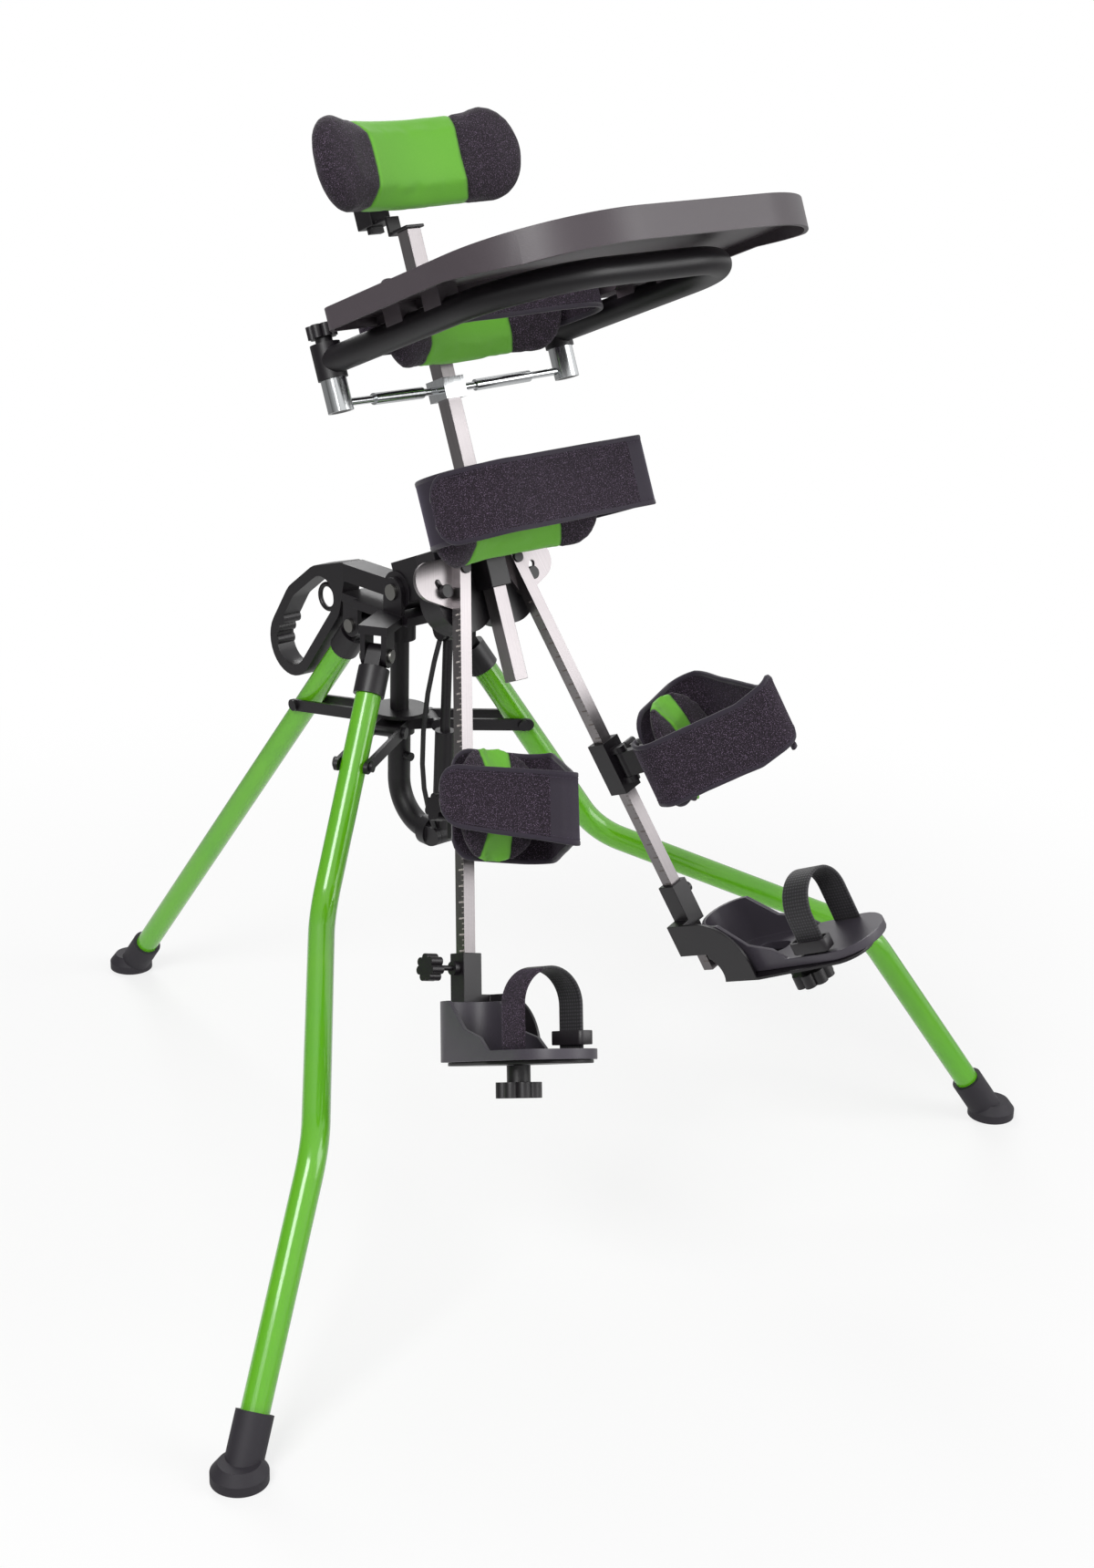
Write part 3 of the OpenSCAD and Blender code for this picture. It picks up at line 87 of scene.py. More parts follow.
# %% Camera
IMAGE_HIGH = 1720
FOCAL_PIXELS = 2709.06
SENSOR = 36
CAMERA_AT = Vector((-1.512, -1.830, 1.261))
camera_azimuth, camera_elevation, camera_roll = (math.radians(a) for a in (-43.22, 20.23, 1.61))
back = Vector((math.sin(camera_azimuth) * math.cos(camera_elevation),
               -math.cos(camera_azimuth) * math.cos(camera_elevation), math.sin(camera_elevation)))
level = Vector((math.cos(camera_azimuth), math.sin(camera_azimuth), 0))
over = back.cross(level)
cam_x = level * math.cos(camera_roll) + over * math.sin(camera_roll)
cam_y = over * math.cos(camera_roll) - level * math.sin(camera_roll)
camera_data = bpy.data.cameras.new("studio_camera")
camera_data.sensor_width = SENSOR
camera_data.lens = FOCAL_PIXELS * SENSOR / IMAGE_HIGH
camera_data.clip_end = 50
camera = bpy.data.objects.new("studio_camera", camera_data)
bpy.context.collection.objects.link(camera)
camera.matrix_world = frame_matrix(cam_x, cam_y, back, CAMERA_AT)
bpy.context.scene.camera = camera
print("lens", round(camera_data.lens, 2), "mm")

# %% [markdown]
# ## Small tools
# One function turns a colour written as sRGB hex into the linear numbers shaders use, one adds a shader or
# geometry node with its settings and links, and one makes a mesh object from millimetres in a local frame.


# %% Colour and node helpers
def paint(code):
    """sRGB hex to linear RGBA."""
    parts = [int(code[i:i + 2], 16) / 255 for i in (1, 3, 5)]
    return (*[c / 12.92 if c <= 0.04045 else ((c + 0.055) / 1.055) ** 2.4 for c in parts], 1)


def put(tree, kind, inputs=None, **settings):
    """Adds a node; inputs holds values or output sockets by input name or number."""
    node = tree.nodes.new(kind)
    for name, value in settings.items():
        setattr(node, name, value)
    for key, value in (inputs or {}).items():
        if isinstance(value, bpy.types.NodeSocket):
            tree.links.new(value, node.inputs[key])
        else:
            node.inputs[key].default_value = value
    return node


def blend(tree, amount, first, second, **how):
    """A mix of two colours."""
    mix = put(tree, "ShaderNodeMix", {0: amount, 6: first, 7: second}, data_type="RGBA", **how)
    return mix.outputs[2]


def speckle(tree, where, lumps, detail, rough=0.5):
    """Noise with about so many lumps per metre."""
    lumpy = {"Vector": where, "Scale": lumps, "Detail": detail, "Roughness": rough}
    return put(tree, "ShaderNodeTexNoise", lumpy).outputs[0]


def ramp(tree, value, low, high, start=0.0, end=1.0, **how):
    """Carries a value from start..end over to low..high."""
    ends = {"From Min": start, "From Max": end, "To Min": low, "To Max": high}
    return put(tree, "ShaderNodeMapRange", {"Value": value, **ends}, **how).outputs[0]


def maths(tree, operation, *values):
    """A sum of one, two or three values."""
    return put(tree, "ShaderNodeMath", dict(enumerate(values)), operation=operation).outputs[0]


def relief(tree, height, strength, depth):
    """A bumped normal; depth is in metres."""
    bump = {"Height": height, "Strength": strength, "Distance": depth}
    return put(tree, "ShaderNodeBump", bump).outputs[0]


def new_finish(name):
    """An empty material, its node tree and its object coordinates."""
    mat = bpy.data.materials.new(name)
    mat.use_nodes = True
    tree = mat.node_tree
    tree.nodes.clear()
    return mat, tree, put(tree, "ShaderNodeTexCoord").outputs["Object"]


def close_finish(tree, **surface):
    """The shader that ends a material; constant numbers go straight on its sockets."""
    shader = put(tree, "ShaderNodeBsdfPrincipled", {k.replace("_", " "): v for k, v in surface.items()})
    put(tree, "ShaderNodeOutputMaterial", {"Surface": shader.outputs[0]})


# %% Mesh helpers
def mesh_piece(name, points, faces, place, *finishes):
    """A mesh object from points in millimetres, put in the row frame by place; normals outward."""
    mesh = bpy.data.meshes.new(name)
    mesh.from_pydata([place @ (Vector(p) * MM) for p in points], [], faces)
    if place.determinant() < 0:
        mesh.flip_normals()
    return object_of(name, mesh, *finishes)


def object_of(name, mesh, *finishes):
    piece = bpy.data.objects.new(name, mesh)
    bpy.context.collection.objects.link(piece)
    for finish in finishes:
        mesh.materials.append(finish)
    mesh.polygons.foreach_set("use_smooth", [True] * len(mesh.polygons))
    return piece


def loft_faces(rings, sides, closed):
    """Quads between rings of points; a closed loft joins its ends, an open one is capped."""
    faces = []
    for i in range(rings if closed else rings - 1):
        for k in range(sides):
            a, b = i * sides, (i + 1) % rings * sides
            m = (k + 1) % sides
            faces.append((a + k, a + m, b + m, b + k))
    if not closed:
        faces.append(tuple(reversed(range(sides))))
        faces.append(tuple((rings - 1) * sides + k for k in range(sides)))
    return faces


def settle(piece):
    """Turns an object's modifiers into plain mesh."""
    shot = piece.evaluated_get(bpy.context.evaluated_depsgraph_get())
    mesh = bpy.data.meshes.new_from_object(shot)
    old = piece.data
    piece.modifiers.clear()
    piece.data = mesh
    bpy.data.meshes.remove(old)
    return piece


def outward(piece):
    """Recalculates normals so that every shell faces out."""
    bm = bmesh.new()
    bm.from_mesh(piece.data)
    bmesh.ops.recalc_face_normals(bm, faces=bm.faces)
    bm.to_mesh(piece.data)
    bm.free()
    return piece


# %% [markdown]
# ## Light and floor
# The photo is a cut-out on white with dark, high-contrast shading. The camera sees a white world and a white
# floor that keeps a soft shadow near the feet. Reflections see another room: bright in front and on the near
# floor, dark behind, which gives the metal its light and dark faces.

# %% Stage
scene = bpy.context.scene
scene.view_settings.view_transform = "Standard"
world = bpy.data.worlds.new("studio_white")
scene.world = world
world.use_nodes = True
wt = world.node_tree
wt.nodes.clear()
seen = put(wt, "ShaderNodeLightPath")
around = put(wt, "ShaderNodeTexCoord")
toward = put(wt, "ShaderNodeVectorMath", {0: around.outputs["Generated"], 1: (0.52, -0.66, 0.54)},
             operation="DOT_PRODUCT")
room = ramp(wt, toward.outputs["Value"], 0.16, 1.1, -0.75, 0.8)
shine = put(wt, "ShaderNodeMix", {0: seen.outputs["Is Glossy Ray"], 2: 0.34, 3: room})
glow = put(wt, "ShaderNodeMix", {0: seen.outputs["Is Camera Ray"], 2: shine.outputs[0], 3: 1.0})
sky = put(wt, "ShaderNodeBackground", {"Color": (1, 1, 1, 1), "Strength": glow.outputs[0]})
put(wt, "ShaderNodeOutputWorld", {"Surface": sky.outputs[0]})

floor_white, ft, here = new_finish("studio_floor_white")
away = put(ft, "ShaderNodeVectorMath", {0: here}, operation="LENGTH").outputs["Value"]
fade = ramp(ft, away, 0.72, 1.0, 0.5, 1.5, interpolation_type="SMOOTHSTEP")
dim = ramp(ft, away, 0.8, 0.3, 0.4, 2.2)
lit = put(ft, "ShaderNodeBsdfDiffuse", {"Color": paint("#f4f4f4")}).outputs[0]
bare = put(ft, "ShaderNodeEmission", {"Color": (1, 1, 1, 1), "Strength": 1.0}).outputs[0]
mirror = put(ft, "ShaderNodeEmission", {"Color": (1, 1, 1, 1), "Strength": dim}).outputs[0]
path = put(ft, "ShaderNodeLightPath")
mixed = put(ft, "ShaderNodeMixShader", {0: fade, 1: lit, 2: bare}).outputs[0]
glossy = put(ft, "ShaderNodeMixShader", {0: path.outputs["Is Glossy Ray"], 1: lit, 2: mirror}).outputs[0]
whole = put(ft, "ShaderNodeMixShader", {0: path.outputs["Is Camera Ray"], 1: glossy, 2: mixed}).outputs[0]
put(ft, "ShaderNodeOutputMaterial", {"Surface": whole})
REACH = 9000
floor = mesh_piece("studio_floor", [(-REACH, -REACH, -0.5), (REACH, -REACH, -0.5), (REACH, REACH, -0.5),
                                    (-REACH, REACH, -0.5)], [(0, 1, 2, 3)], Matrix.Identity(4), floor_white)


def lamp(name, at, aim, size, watts):
    data = bpy.data.lights.new(name, "AREA")
    data.size = size
    data.energy = watts
    obj = bpy.data.objects.new(name, data)
    bpy.context.collection.objects.link(obj)
    obj.location = at
    obj.rotation_euler = (Vector(aim) - Vector(at)).to_track_quat("-Z", "Y").to_euler()


lamp("key_softbox", (-2.6, -1.3, 2.7), (0, 0, 0.6), 1.5, 78)
lamp("fill_softbox", (1.6, -2.6, 1.7), (0, 0, 0.5), 1.8, 34)
lamp("rim_softbox", (1.2, 2.4, 2.4), (0, 0, 0.7), 1.4, 40)

# %% [markdown]
# ## Powder coat
# The legs are steel tube with a gloss polyester powder coat. Powder flows out into a faint orange peel of
# about 7 mm, which breaks up the highlights. The black steel parts have a satin coat with a finer grain.


# %% Powder coat finishes
def powder_coat(name, colour, shade, rough, peel_mm, height, coat):
    mat, t, here = new_finish(name)
    cloud = speckle(t, here, 14.0, 3.0)
    peel = speckle(t, here, 1 / (peel_mm * MM), 1.0)
    close_finish(t, Base_Color=blend(t, cloud, paint(colour), paint(shade)),
                 Roughness=ramp(t, cloud, rough * 0.8, rough * 1.25), Normal=relief(t, peel, height, 0.0004),
                 Coat_Weight=coat, Coat_Roughness=0.06)
    return mat


gloss_green = powder_coat("powder_coat_gloss_green", "#6ab712", "#54aa15", 0.24, 7.0, 0.03, 0.6)
satin_black = powder_coat("powder_coat_satin_black", "#100d11", "#171318", 0.40, 1.2, 0.10, 0.0)

# %% [markdown]
# ## Moulded plastic and rubber
# Knobs, handle and hip housing are moulded ABS with a spark-eroded grain near 0.8 mm. The tray is a larger
# thermoformed sheet with a coarser hair-cell grain, and the feet are matt rubber that looks slightly dusty.


# %% Plastic and rubber finishes
def moulded(name, colour, worn, rough, grain_mm, height):
    mat, t, here = new_finish(name)
    grain = speckle(t, here, 1 / (grain_mm * MM), 2.0, 0.6)
    patch = speckle(t, here, 9.0, 4.0)
    edge = put(t, "ShaderNodeNewGeometry").outputs["Pointiness"]
    rubbed = maths(t, "MULTIPLY", ramp(t, edge, 0.0, 1.0, 0.52, 0.62), patch)
    close_finish(t, Base_Color=blend(t, rubbed, paint(colour), paint(worn)), IOR=1.52,
                 Roughness=ramp(t, patch, rough - 0.07, rough + 0.09),
                 Normal=relief(t, grain, height, 0.0003))
    return mat


abs_black = moulded("moulded_abs_black", "#120f13", "#302a30", 0.40, 0.8, 0.18)
tray_black = moulded("thermoformed_tray_black", "#443d42", "#5f575c", 0.38, 1.4, 0.22)
sandal_black = moulded("moulded_sandal_black", "#3e3a42", "#605a64", 0.38, 0.9, 0.16)
rubber_black = moulded("rubber_foot_black", "#1d1921", "#38323a", 0.66, 1.1, 0.22)
jacket_black = moulded("cable_jacket_black", "#121113", "#29272a", 0.50, 1.5, 0.10)

# %% [markdown]
# ## Bare metal
# The mast and leg bars are drawn aluminium with a brushed grain along their length, so the noise is
# stretched along the bar. The tray arm is bright chrome plate and the pins are dull zinc.


# %% Metal finishes
def brushed(name, colours, rough, place, low=1.0):
    """Drawn metal; low is the share of its colour kept near the floor, a painted shade for a mirrored dark
    room.
    """
    mat, t, here = new_finish(name)
    turn = place.to_3x3().inverted().to_euler()
    local = put(t, "ShaderNodeMapping", {"Vector": here, "Rotation": turn})
    drawn = put(t, "ShaderNodeMapping", {"Vector": local.outputs[0], "Scale": (1.0, 1.0, 0.012)})
    lines = speckle(t, drawn.outputs[0], 1800.0, 3.0)
    height = put(t, "ShaderNodeSeparateXYZ", {0: here}).outputs["Z"]
    base = blend(t, speckle(t, here, 11.0, 3.0), paint(colours[0]), paint(colours[1]))
    base = blend(t, 1.0, base, ramp(t, lines, 0.82, 1.0, 0.3, 0.7), blend_type="MULTIPLY")
    # Painted shade: the colour darkens towards the floor, standing for the dark room the metal mirrors there
    base = blend(t, 1.0, base, ramp(t, height, low, 1.0, 0.20, 0.55), blend_type="MULTIPLY")
    close_finish(t, Base_Color=base, Roughness=ramp(t, lines, rough - 0.08, rough + 0.1),
                 Normal=relief(t, lines, 0.12, 0.0002), Metallic=1.0)
    return mat


bar_metal = ("#a8a3a4", "#918c8e")
mast_aluminium = brushed("brushed_aluminium_mast", bar_metal, 0.34, mast_frame)
# The leg bars get painted shade near the floor, the right bar more than the left
left_aluminium = brushed("brushed_aluminium_left_bar", bar_metal, 0.34, bar_frame, 0.5)
right_aluminium = brushed("brushed_aluminium_right_bar", bar_metal, 0.34,
                          across_middle @ bar_frame @ across_middle, 0.42)
chrome_plate = brushed("polished_chrome_plate", ("#dcdedf", "#cfd2d4"), 0.12, mast_frame)
zinc_plate = brushed("zinc_plated_steel", ("#a3a29e", "#8d8c88"), 0.36, Matrix.Identity(4))

# %% [markdown]
# ## Cloth
# Straps are foam with a loop-pile face: thousands of small loops. The few that catch the light are a
# painted highlight of pale flecks. The cushion covers are the same cloth at the sides with a smooth green
# knit band in the middle. The band is cut by an attribute that holds each point's distance from the
# middle, so its edge stays crisp.


# %% Cloth finishes
def loop_cloth(tree, here):
    """Colour and height of the black loop pile, with loops about 1.3 mm apart and painted glints on a few."""
    loops = put(tree, "ShaderNodeTexVoronoi", {"Vector": here, "Scale": 1 / (1.3 * MM)})
    # Painted highlight: pale flecks stand in for the few loops that catch the light
    painted_glint = ramp(tree, speckle(tree, here, 1 / (0.8 * MM), 2.0), 0.0, 1.0, 0.56, 0.70)
    ground = blend(tree, speckle(tree, here, 26.0, 3.0), paint("#120a14"), paint("#1c111d"))
    return blend(tree, painted_glint, ground, paint("#75647b")), loops.outputs["Distance"]


loop_pile, t, here = new_finish("loop_pile_black")
pile_colour, pile_height = loop_cloth(t, here)
close_finish(t, Base_Color=pile_colour, Roughness=0.93, Normal=relief(t, pile_height, 0.55, 0.0006),
             Sheen_Weight=0.16, Sheen_Roughness=0.5, Sheen_Tint=paint("#8f7f9c"))

binding, t, here = new_finish("edge_binding_tape")
ribs = speckle(t, here, 1 / (0.9 * MM), 1.0)
close_finish(t, Base_Color=blend(t, ribs, paint("#191220"), paint("#2c2233")), Roughness=0.8,
             Normal=relief(t, ribs, 0.4, 0.0004), Sheen_Weight=0.2)

neoprene, t, here = new_finish("smooth_neoprene_cloth")
knit = speckle(t, here, 1 / (0.7 * MM), 2.0)
close_finish(t, Base_Color=blend(t, knit, paint("#1a131e"), paint("#2b2232")), Roughness=0.74,
             Normal=relief(t, knit, 0.25, 0.0003), Sheen_Weight=0.3, Sheen_Roughness=0.4,
             Sheen_Tint=paint("#9a8fb0"))


def cover_cloth(name, band_mm, flare_mm):
    """Black loop pile with a green knit band out to band_mm from the middle, flared at top and bottom."""
    mat, t, here = new_finish(name)
    pile, loops = loop_cloth(t, here)
    across, rise, front = (put(t, "ShaderNodeAttribute", attribute_name=n).outputs["Fac"]
                           for n in ("across", "rise", "front"))
    edge = maths(t, "MULTIPLY_ADD", maths(t, "MULTIPLY", rise, rise), flare_mm, band_mm)
    out = maths(t, "SUBTRACT", across, edge)
    inside = ramp(t, out, 1.0, 0.0, -0.35, 0.35)
    green = maths(t, "MULTIPLY", inside, ramp(t, front, 0.0, 1.0, 0.20, 0.23))
    knit = speckle(t, here, 1 / (0.9 * MM), 2.0)
    fine = blend(t, knit, paint("#5fac26"), paint("#79c03d"))
    tint = blend(t, speckle(t, here, 22.0, 3.0), fine, paint("#65b12f"))
    seam = ramp(t, maths(t, "ABSOLUTE", out), 0.55, 1.0, 0.5, 2.2)
    cloth = blend(t, 1.0, blend(t, green, pile, tint), seam, blend_type="MULTIPLY")
    height = put(t, "ShaderNodeMix", {0: green, 2: loops, 3: knit}).outputs[0]
    close_finish(t, Base_Color=cloth, Roughness=ramp(t, green, 0.92, 0.62), Sheen_Weight=0.10,
                 Normal=relief(t, height, ramp(t, green, 0.5, 0.18), 0.0006), Sheen_Roughness=0.5)
    return mat


webbing, t, _ = new_finish("woven_nylon_webbing")
flat = put(t, "ShaderNodeUVMap", uv_map="weave").outputs[0]
warp, weft = (put(t, "ShaderNodeTexWave", {"Vector": flat, "Scale": 1.0, "Distortion": 0.6, "Detail": 1.0},
                  bands_direction=way).outputs["Fac"] for way in "XY")
weave = maths(t, "MULTIPLY", warp, weft)
close_finish(t, Base_Color=blend(t, weave, paint("#131215"), paint("#37343a")), Roughness=0.62,
             Normal=relief(t, weave, 0.6, 0.0006), Sheen_Weight=0.15)
print(len(bpy.data.materials), "materials")

# %% [markdown]
# ## Softened hard parts
# Real castings, mouldings and sawn bars have no knife edges. Each rigid CAD piece is copied, its loose
# triangles are merged, flat areas are joined, and its sharp edges get a small round. The copy then stands
# for the CAD piece. The size of the round follows how the piece was made.


# %% Soften
def soften(node, round_mm, finish, sharp=32, segments=2):
    """Stands a copy with rounded edges in for a CAD node; edges past sharp degrees are rounded."""
    bm = bmesh.new()
    bm.from_mesh(frame["nodes"][node].data)
    bmesh.ops.remove_doubles(bm, verts=bm.verts, dist=2e-6)
    bmesh.ops.dissolve_limit(bm, angle_limit=math.radians(0.6), verts=bm.verts, edges=bm.edges)
    if round_mm:
        edges = [e for e in bm.edges
                 if len(e.link_faces) == 2 and e.calc_face_angle(0) > math.radians(sharp)]
        bmesh.ops.bevel(bm, geom=edges, offset=round_mm * MM, segments=segments, profile=0.55,
                        affect="EDGES", clamp_overlap=True)
    bmesh.ops.triangulate(bm, faces=[f for f in bm.faces if len(f.verts) > 4])
    mesh = bpy.data.meshes.new(node + "_body")
    bm.to_mesh(mesh)
    bm.free()
    piece = object_of(node + "_body", mesh, finish)
    mesh.set_sharp_from_angle(angle=math.radians(34))
    piece.modifiers.new("flat_faces_shade_flat", "WEIGHTED_NORMAL").keep_sharp = True
    settle(piece)
    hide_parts(node)
    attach(piece, body_of[node])
    return piece


def both(name):
    return ["right_" + name, "left_" + name]


def three(name):
    return ["rear_" + name, *both(name)]


# Nodes, the round of their edges in millimetres, and their finish
SOFT = [
    (three("leg_tube"), 0, gloss_green),
    (three("leg_foot"), 1.2, rubber_black),
    (three("leg_socket") + three("strut_bars"), 0.6, satin_black),
    (["hub_bracket", "spring_clamp", "collar", "tilt_head", "mast_guide", "hip_bracket", "head_mount",
      "head_stem", "head_plate", "chest_bracket"], 0.9, satin_black),
    (["centre_post", "j_tube", "gas_cylinder", "gas_rod", "tray_tube"], 0.5, satin_black),
    (both("knee_clamp") + both("knee_link") + both("foot_bracket"), 0.7, satin_black),
    (["hub_pins"], 0.4, zinc_plate),
    (["handle"], 3.5, abs_black),
    (["hip_housing"], 2.0, abs_black),
    (["pull_ring"], 0.3, abs_black),
    (both("tray_knob") + both("foot_knob") + both("sole_knob"), 0.8, abs_black),
    (["tray"], 1.5, tray_black),
    (both("sandal"), 1.0, sandal_black),
    (["mast_tube"], 0.5, mast_aluminium),
    (["left_leg_bar"], 0.5, left_aluminium),
    (["right_leg_bar"], 0.5, right_aluminium),
    (["tray_arm"], 0.6, chrome_plate),
    (["release_cable"], 0, jacket_black),
]
for nodes, round_mm, finish in SOFT:
    for node in nodes:
        soften(node, round_mm, finish)
print(sum(len(s[0]) for s in SOFT), "rigid pieces softened")

# %% [markdown]
# ## Cushions
# Each cushion is a foam pad wrapped round an arc. It starts as a lofted shape a little smaller than the CAD
# solid; cloth with inner pressure then swells it, so its faces crown and its corners pull in as a sewn cover
# does. The cover's two seams are pressed in afterwards, because the remesh would lose them.

# %% Cushion shape
PAD_VOXEL = 4.5
PAD_INSET = 1.6
SWELL_CAP = 5.0
SWELL_STEPS = 20


def power(v, e):
    """A power that keeps the sign."""
    return math.copysign(abs(v) ** e, v)


def cushion_points(width, height, thick, wrap, stations=64, sides=40):
    """The pad's loft: rounded sections along an arc of radius wrap, drawn in at both ends."""
    half, points = width / 2, []
    for i in range(stations + 1):
        d = half * (2 * i / stations - 1)
        turn = d / wrap
        end = height * 0.42
        short = 1.0 if abs(d) < half - end else math.sqrt(max(0.02, 1 - ((abs(d) - half + end) / end) ** 2))
        deep, tall = thick / 2 * short ** 0.55, height / 2 * short
        for k in range(sides):
            a = 2 * math.pi * (k + 0.5) / sides
            r = wrap - thick / 2 - deep * power(math.cos(a), 0.8)
            points.append((r * math.sin(turn), -(wrap - r * math.cos(turn)), tall * power(math.sin(a), 0.6)))
    return points, loft_faces(stations + 1, sides, False)


def swell(piece, cap):
    """Blows the closed cover up with cloth pressure and caps how far a point may go."""
    start = [v.co.copy() for v in piece.data.vertices]
    cloth = piece.modifiers.new("swell", "CLOTH")
    cloth.settings.use_pressure = True
    cloth.settings.uniform_pressure_force = 4
    cloth.settings.effector_weights.gravity = 0
    cloth.collision_settings.use_collision = False
    for step in range(1, SWELL_STEPS + 1):
        scene.frame_set(step)
    shot = piece.evaluated_get(bpy.context.evaluated_depsgraph_get())
    ends = [v.co.copy() for v in shot.data.vertices]
    piece.modifiers.clear()
    scene.frame_set(1)
    moved = []
    for a, b in zip(start, ends):
        step = b - a
        moved.extend(a + step * min(1, cap * MM / max(step.length, 1e-9)))
    piece.data.vertices.foreach_set("co", moved)
    piece.data.update()


def cushion(name, place, body, node, width, height, thick, wrap, band, flare):
    inset = 2 * PAD_INSET
    points, faces = cushion_points(width - inset, height - inset, thick - inset, wrap - inset / 2)
    points = [(x, y - inset / 2, z) for x, y, z in points]
    piece = mesh_piece(name, points, faces, Matrix.Identity(4))
    remesh = piece.modifiers.new("even_skin", "REMESH")
    remesh.mode = "VOXEL"
    remesh.voxel_size = PAD_VOXEL * MM
    settle(outward(piece))
    swell(piece, SWELL_CAP)
    sub = piece.modifiers.new("round", "SUBSURF")
    sub.levels = sub.render_levels = 2
    settle(piece)
    dress_cushion(piece, height, thick, wrap, band, flare)
    piece.data.transform(place)
    if place.determinant() < 0:
        piece.data.flip_normals()
    piece.data.materials.append(cover_cloth(name + "_cover", band, flare))
    piece.data.polygons.foreach_set("use_smooth", [True] * len(piece.data.polygons))
    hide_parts(node)
    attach(piece, body)


def dress_cushion(piece, height, thick, wrap, band, flare):
    """Presses the seams in, keeps the back flat where it is carried, and stores the cloth's own places."""
    mesh = piece.data
    low, high, fore, moved = [], [], [], []
    for co, out in [(v.co / MM, v.normal.copy()) for v in mesh.vertices]:
        d = wrap * math.atan2(co.x, wrap + co.y)
        rise = 2 * co.z / height
        depth = wrap - math.hypot(co.x, wrap + co.y)
        gap = abs(d) - band - flare * rise * rise
        groove = 1.5 * math.exp(-(gap / 2.6) ** 2) * (0.35 + 0.65 * min(1, max(0, depth / thick)))
        pucker = 0.5 * math.exp(-(gap / 9) ** 2) * noise.noise(Vector((d * 0.22, co.z * 0.22, 3.1)))
        slack = 0.6 * noise.noise(co * 0.03)
        co += out * (pucker + slack - groove)
        co.y = min(co.y, -0.2)
        moved.extend(co * MM)
        low.append(abs(d))
        high.append(rise)
        fore.append(depth / thick)
    mesh.vertices.foreach_set("co", moved)
    mesh.update()
    for attribute, values in (("across", low), ("rise", high), ("front", fore)):
        mesh.attributes.new(attribute, "FLOAT", "POINT").data.foreach_set("value", values)


# %% The five cushions
def on_mast(back, up):
    """Back of a support, in millimetres ahead of the tilt pin and up the mast."""
    return mast_frame @ Matrix.Translation((0, -back * MM, up * MM))


# Millimetres from the bar's pivot to the knee pin, ahead and down; each cuff's reach from it and its swivel
KNEE_PIN, KNEE_AT = 17.85, 228
KNEE = {"right": (11, 0), "left": (52, 15)}
SOFT_GAP, STRAP = 0.3, 4.0


def in_cuff(side):
    """Back of the knee cuff, in front of its link."""
    reach, swivel = KNEE[side]
    pin = Matrix.Translation((0, -KNEE_PIN * MM, -KNEE_AT * MM))
    turn = Matrix.Rotation(math.radians(swivel), 4, "Z")
    return side_frame(side) @ pin @ turn @ Matrix.Translation((0, -(reach + SOFT_GAP) * MM, 0))


cushion("hip_cushion", on_mast(148.1, 42), "hip_support", "hip_pad",
        width=228, height=88, thick=24, wrap=200, band=61, flare=3)
cushion("chest_cushion", on_mast(147.9, 230), "chest_support", "chest_pad",
        width=246, height=92, thick=24, wrap=170, band=58, flare=3)
cushion("head_cushion", on_mast(125.3, 383), "headrest", "head_pad",
        width=272, height=96, thick=32, wrap=215, band=62, flare=6)
for side in ("right", "left"):
    in_front = in_cuff(side) @ Matrix.Translation((0, -(STRAP + SOFT_GAP) * MM, 0))
    cushion(side + "_knee_cushion", in_front, side + "_knee", side + "_knee_cuff",
            width=112, height=112, thick=18, wrap=84, band=19, flare=1)
print("cushions made")

# %% [markdown]
# ## Repeats
# Stitches and scale marks are one small shape set many times. A Geometry Nodes tree puts that shape on
# points that carry two directions, so one tree serves every row of thread and every graduation.

# %% One tree for everything that repeats
repeat_tree = bpy.data.node_groups.new("set_on_points", "GeometryNodeTree")
for label, kind in (("Points", "Geometry"), ("Size", "Vector"), ("Round", "Bool"), ("Finish", "Material")):
    repeat_tree.interface.new_socket(label, in_out="INPUT", socket_type="NodeSocket" + kind)
repeat_tree.interface.new_socket("Geometry", in_out="OUTPUT", socket_type="NodeSocketGeometry")
given = put(repeat_tree, "NodeGroupInput")
block = put(repeat_tree, "GeometryNodeMeshCube", {"Size": (1, 1, 1)})
bead = put(repeat_tree, "GeometryNodeMeshUVSphere", {"Segments": 8, "Rings": 6, "Radius": 0.5})
shape = put(repeat_tree, "GeometryNodeSwitch", {"Switch": given.outputs["Round"], "False": block.outputs[0],
                                                "True": bead.outputs[0]}, input_type="GEOMETRY")
along = put(repeat_tree, "GeometryNodeInputNamedAttribute", {"Name": "along"}, data_type="FLOAT_VECTOR")
out = put(repeat_tree, "GeometryNodeInputNamedAttribute", {"Name": "out"}, data_type="FLOAT_VECTOR")
turned = put(repeat_tree, "FunctionNodeAlignRotationToVector", {"Vector": along.outputs[0]}, axis="X")
settled = put(repeat_tree, "FunctionNodeAlignRotationToVector",
              {"Rotation": turned.outputs[0], "Vector": out.outputs[0]}, axis="Z", pivot_axis="X")
copies = put(repeat_tree, "GeometryNodeInstanceOnPoints",
             {"Points": given.outputs["Points"], "Instance": shape.outputs[0], "Rotation": settled.outputs[0],
              "Scale": given.outputs["Size"]})
real = put(repeat_tree, "GeometryNodeRealizeInstances", {0: copies.outputs[0]})
dressed = put(repeat_tree, "GeometryNodeSetMaterial", {"Geometry": real.outputs[0],
                                                       "Material": given.outputs["Finish"]})
put(repeat_tree, "NodeGroupOutput", {0: dressed.outputs[0]})


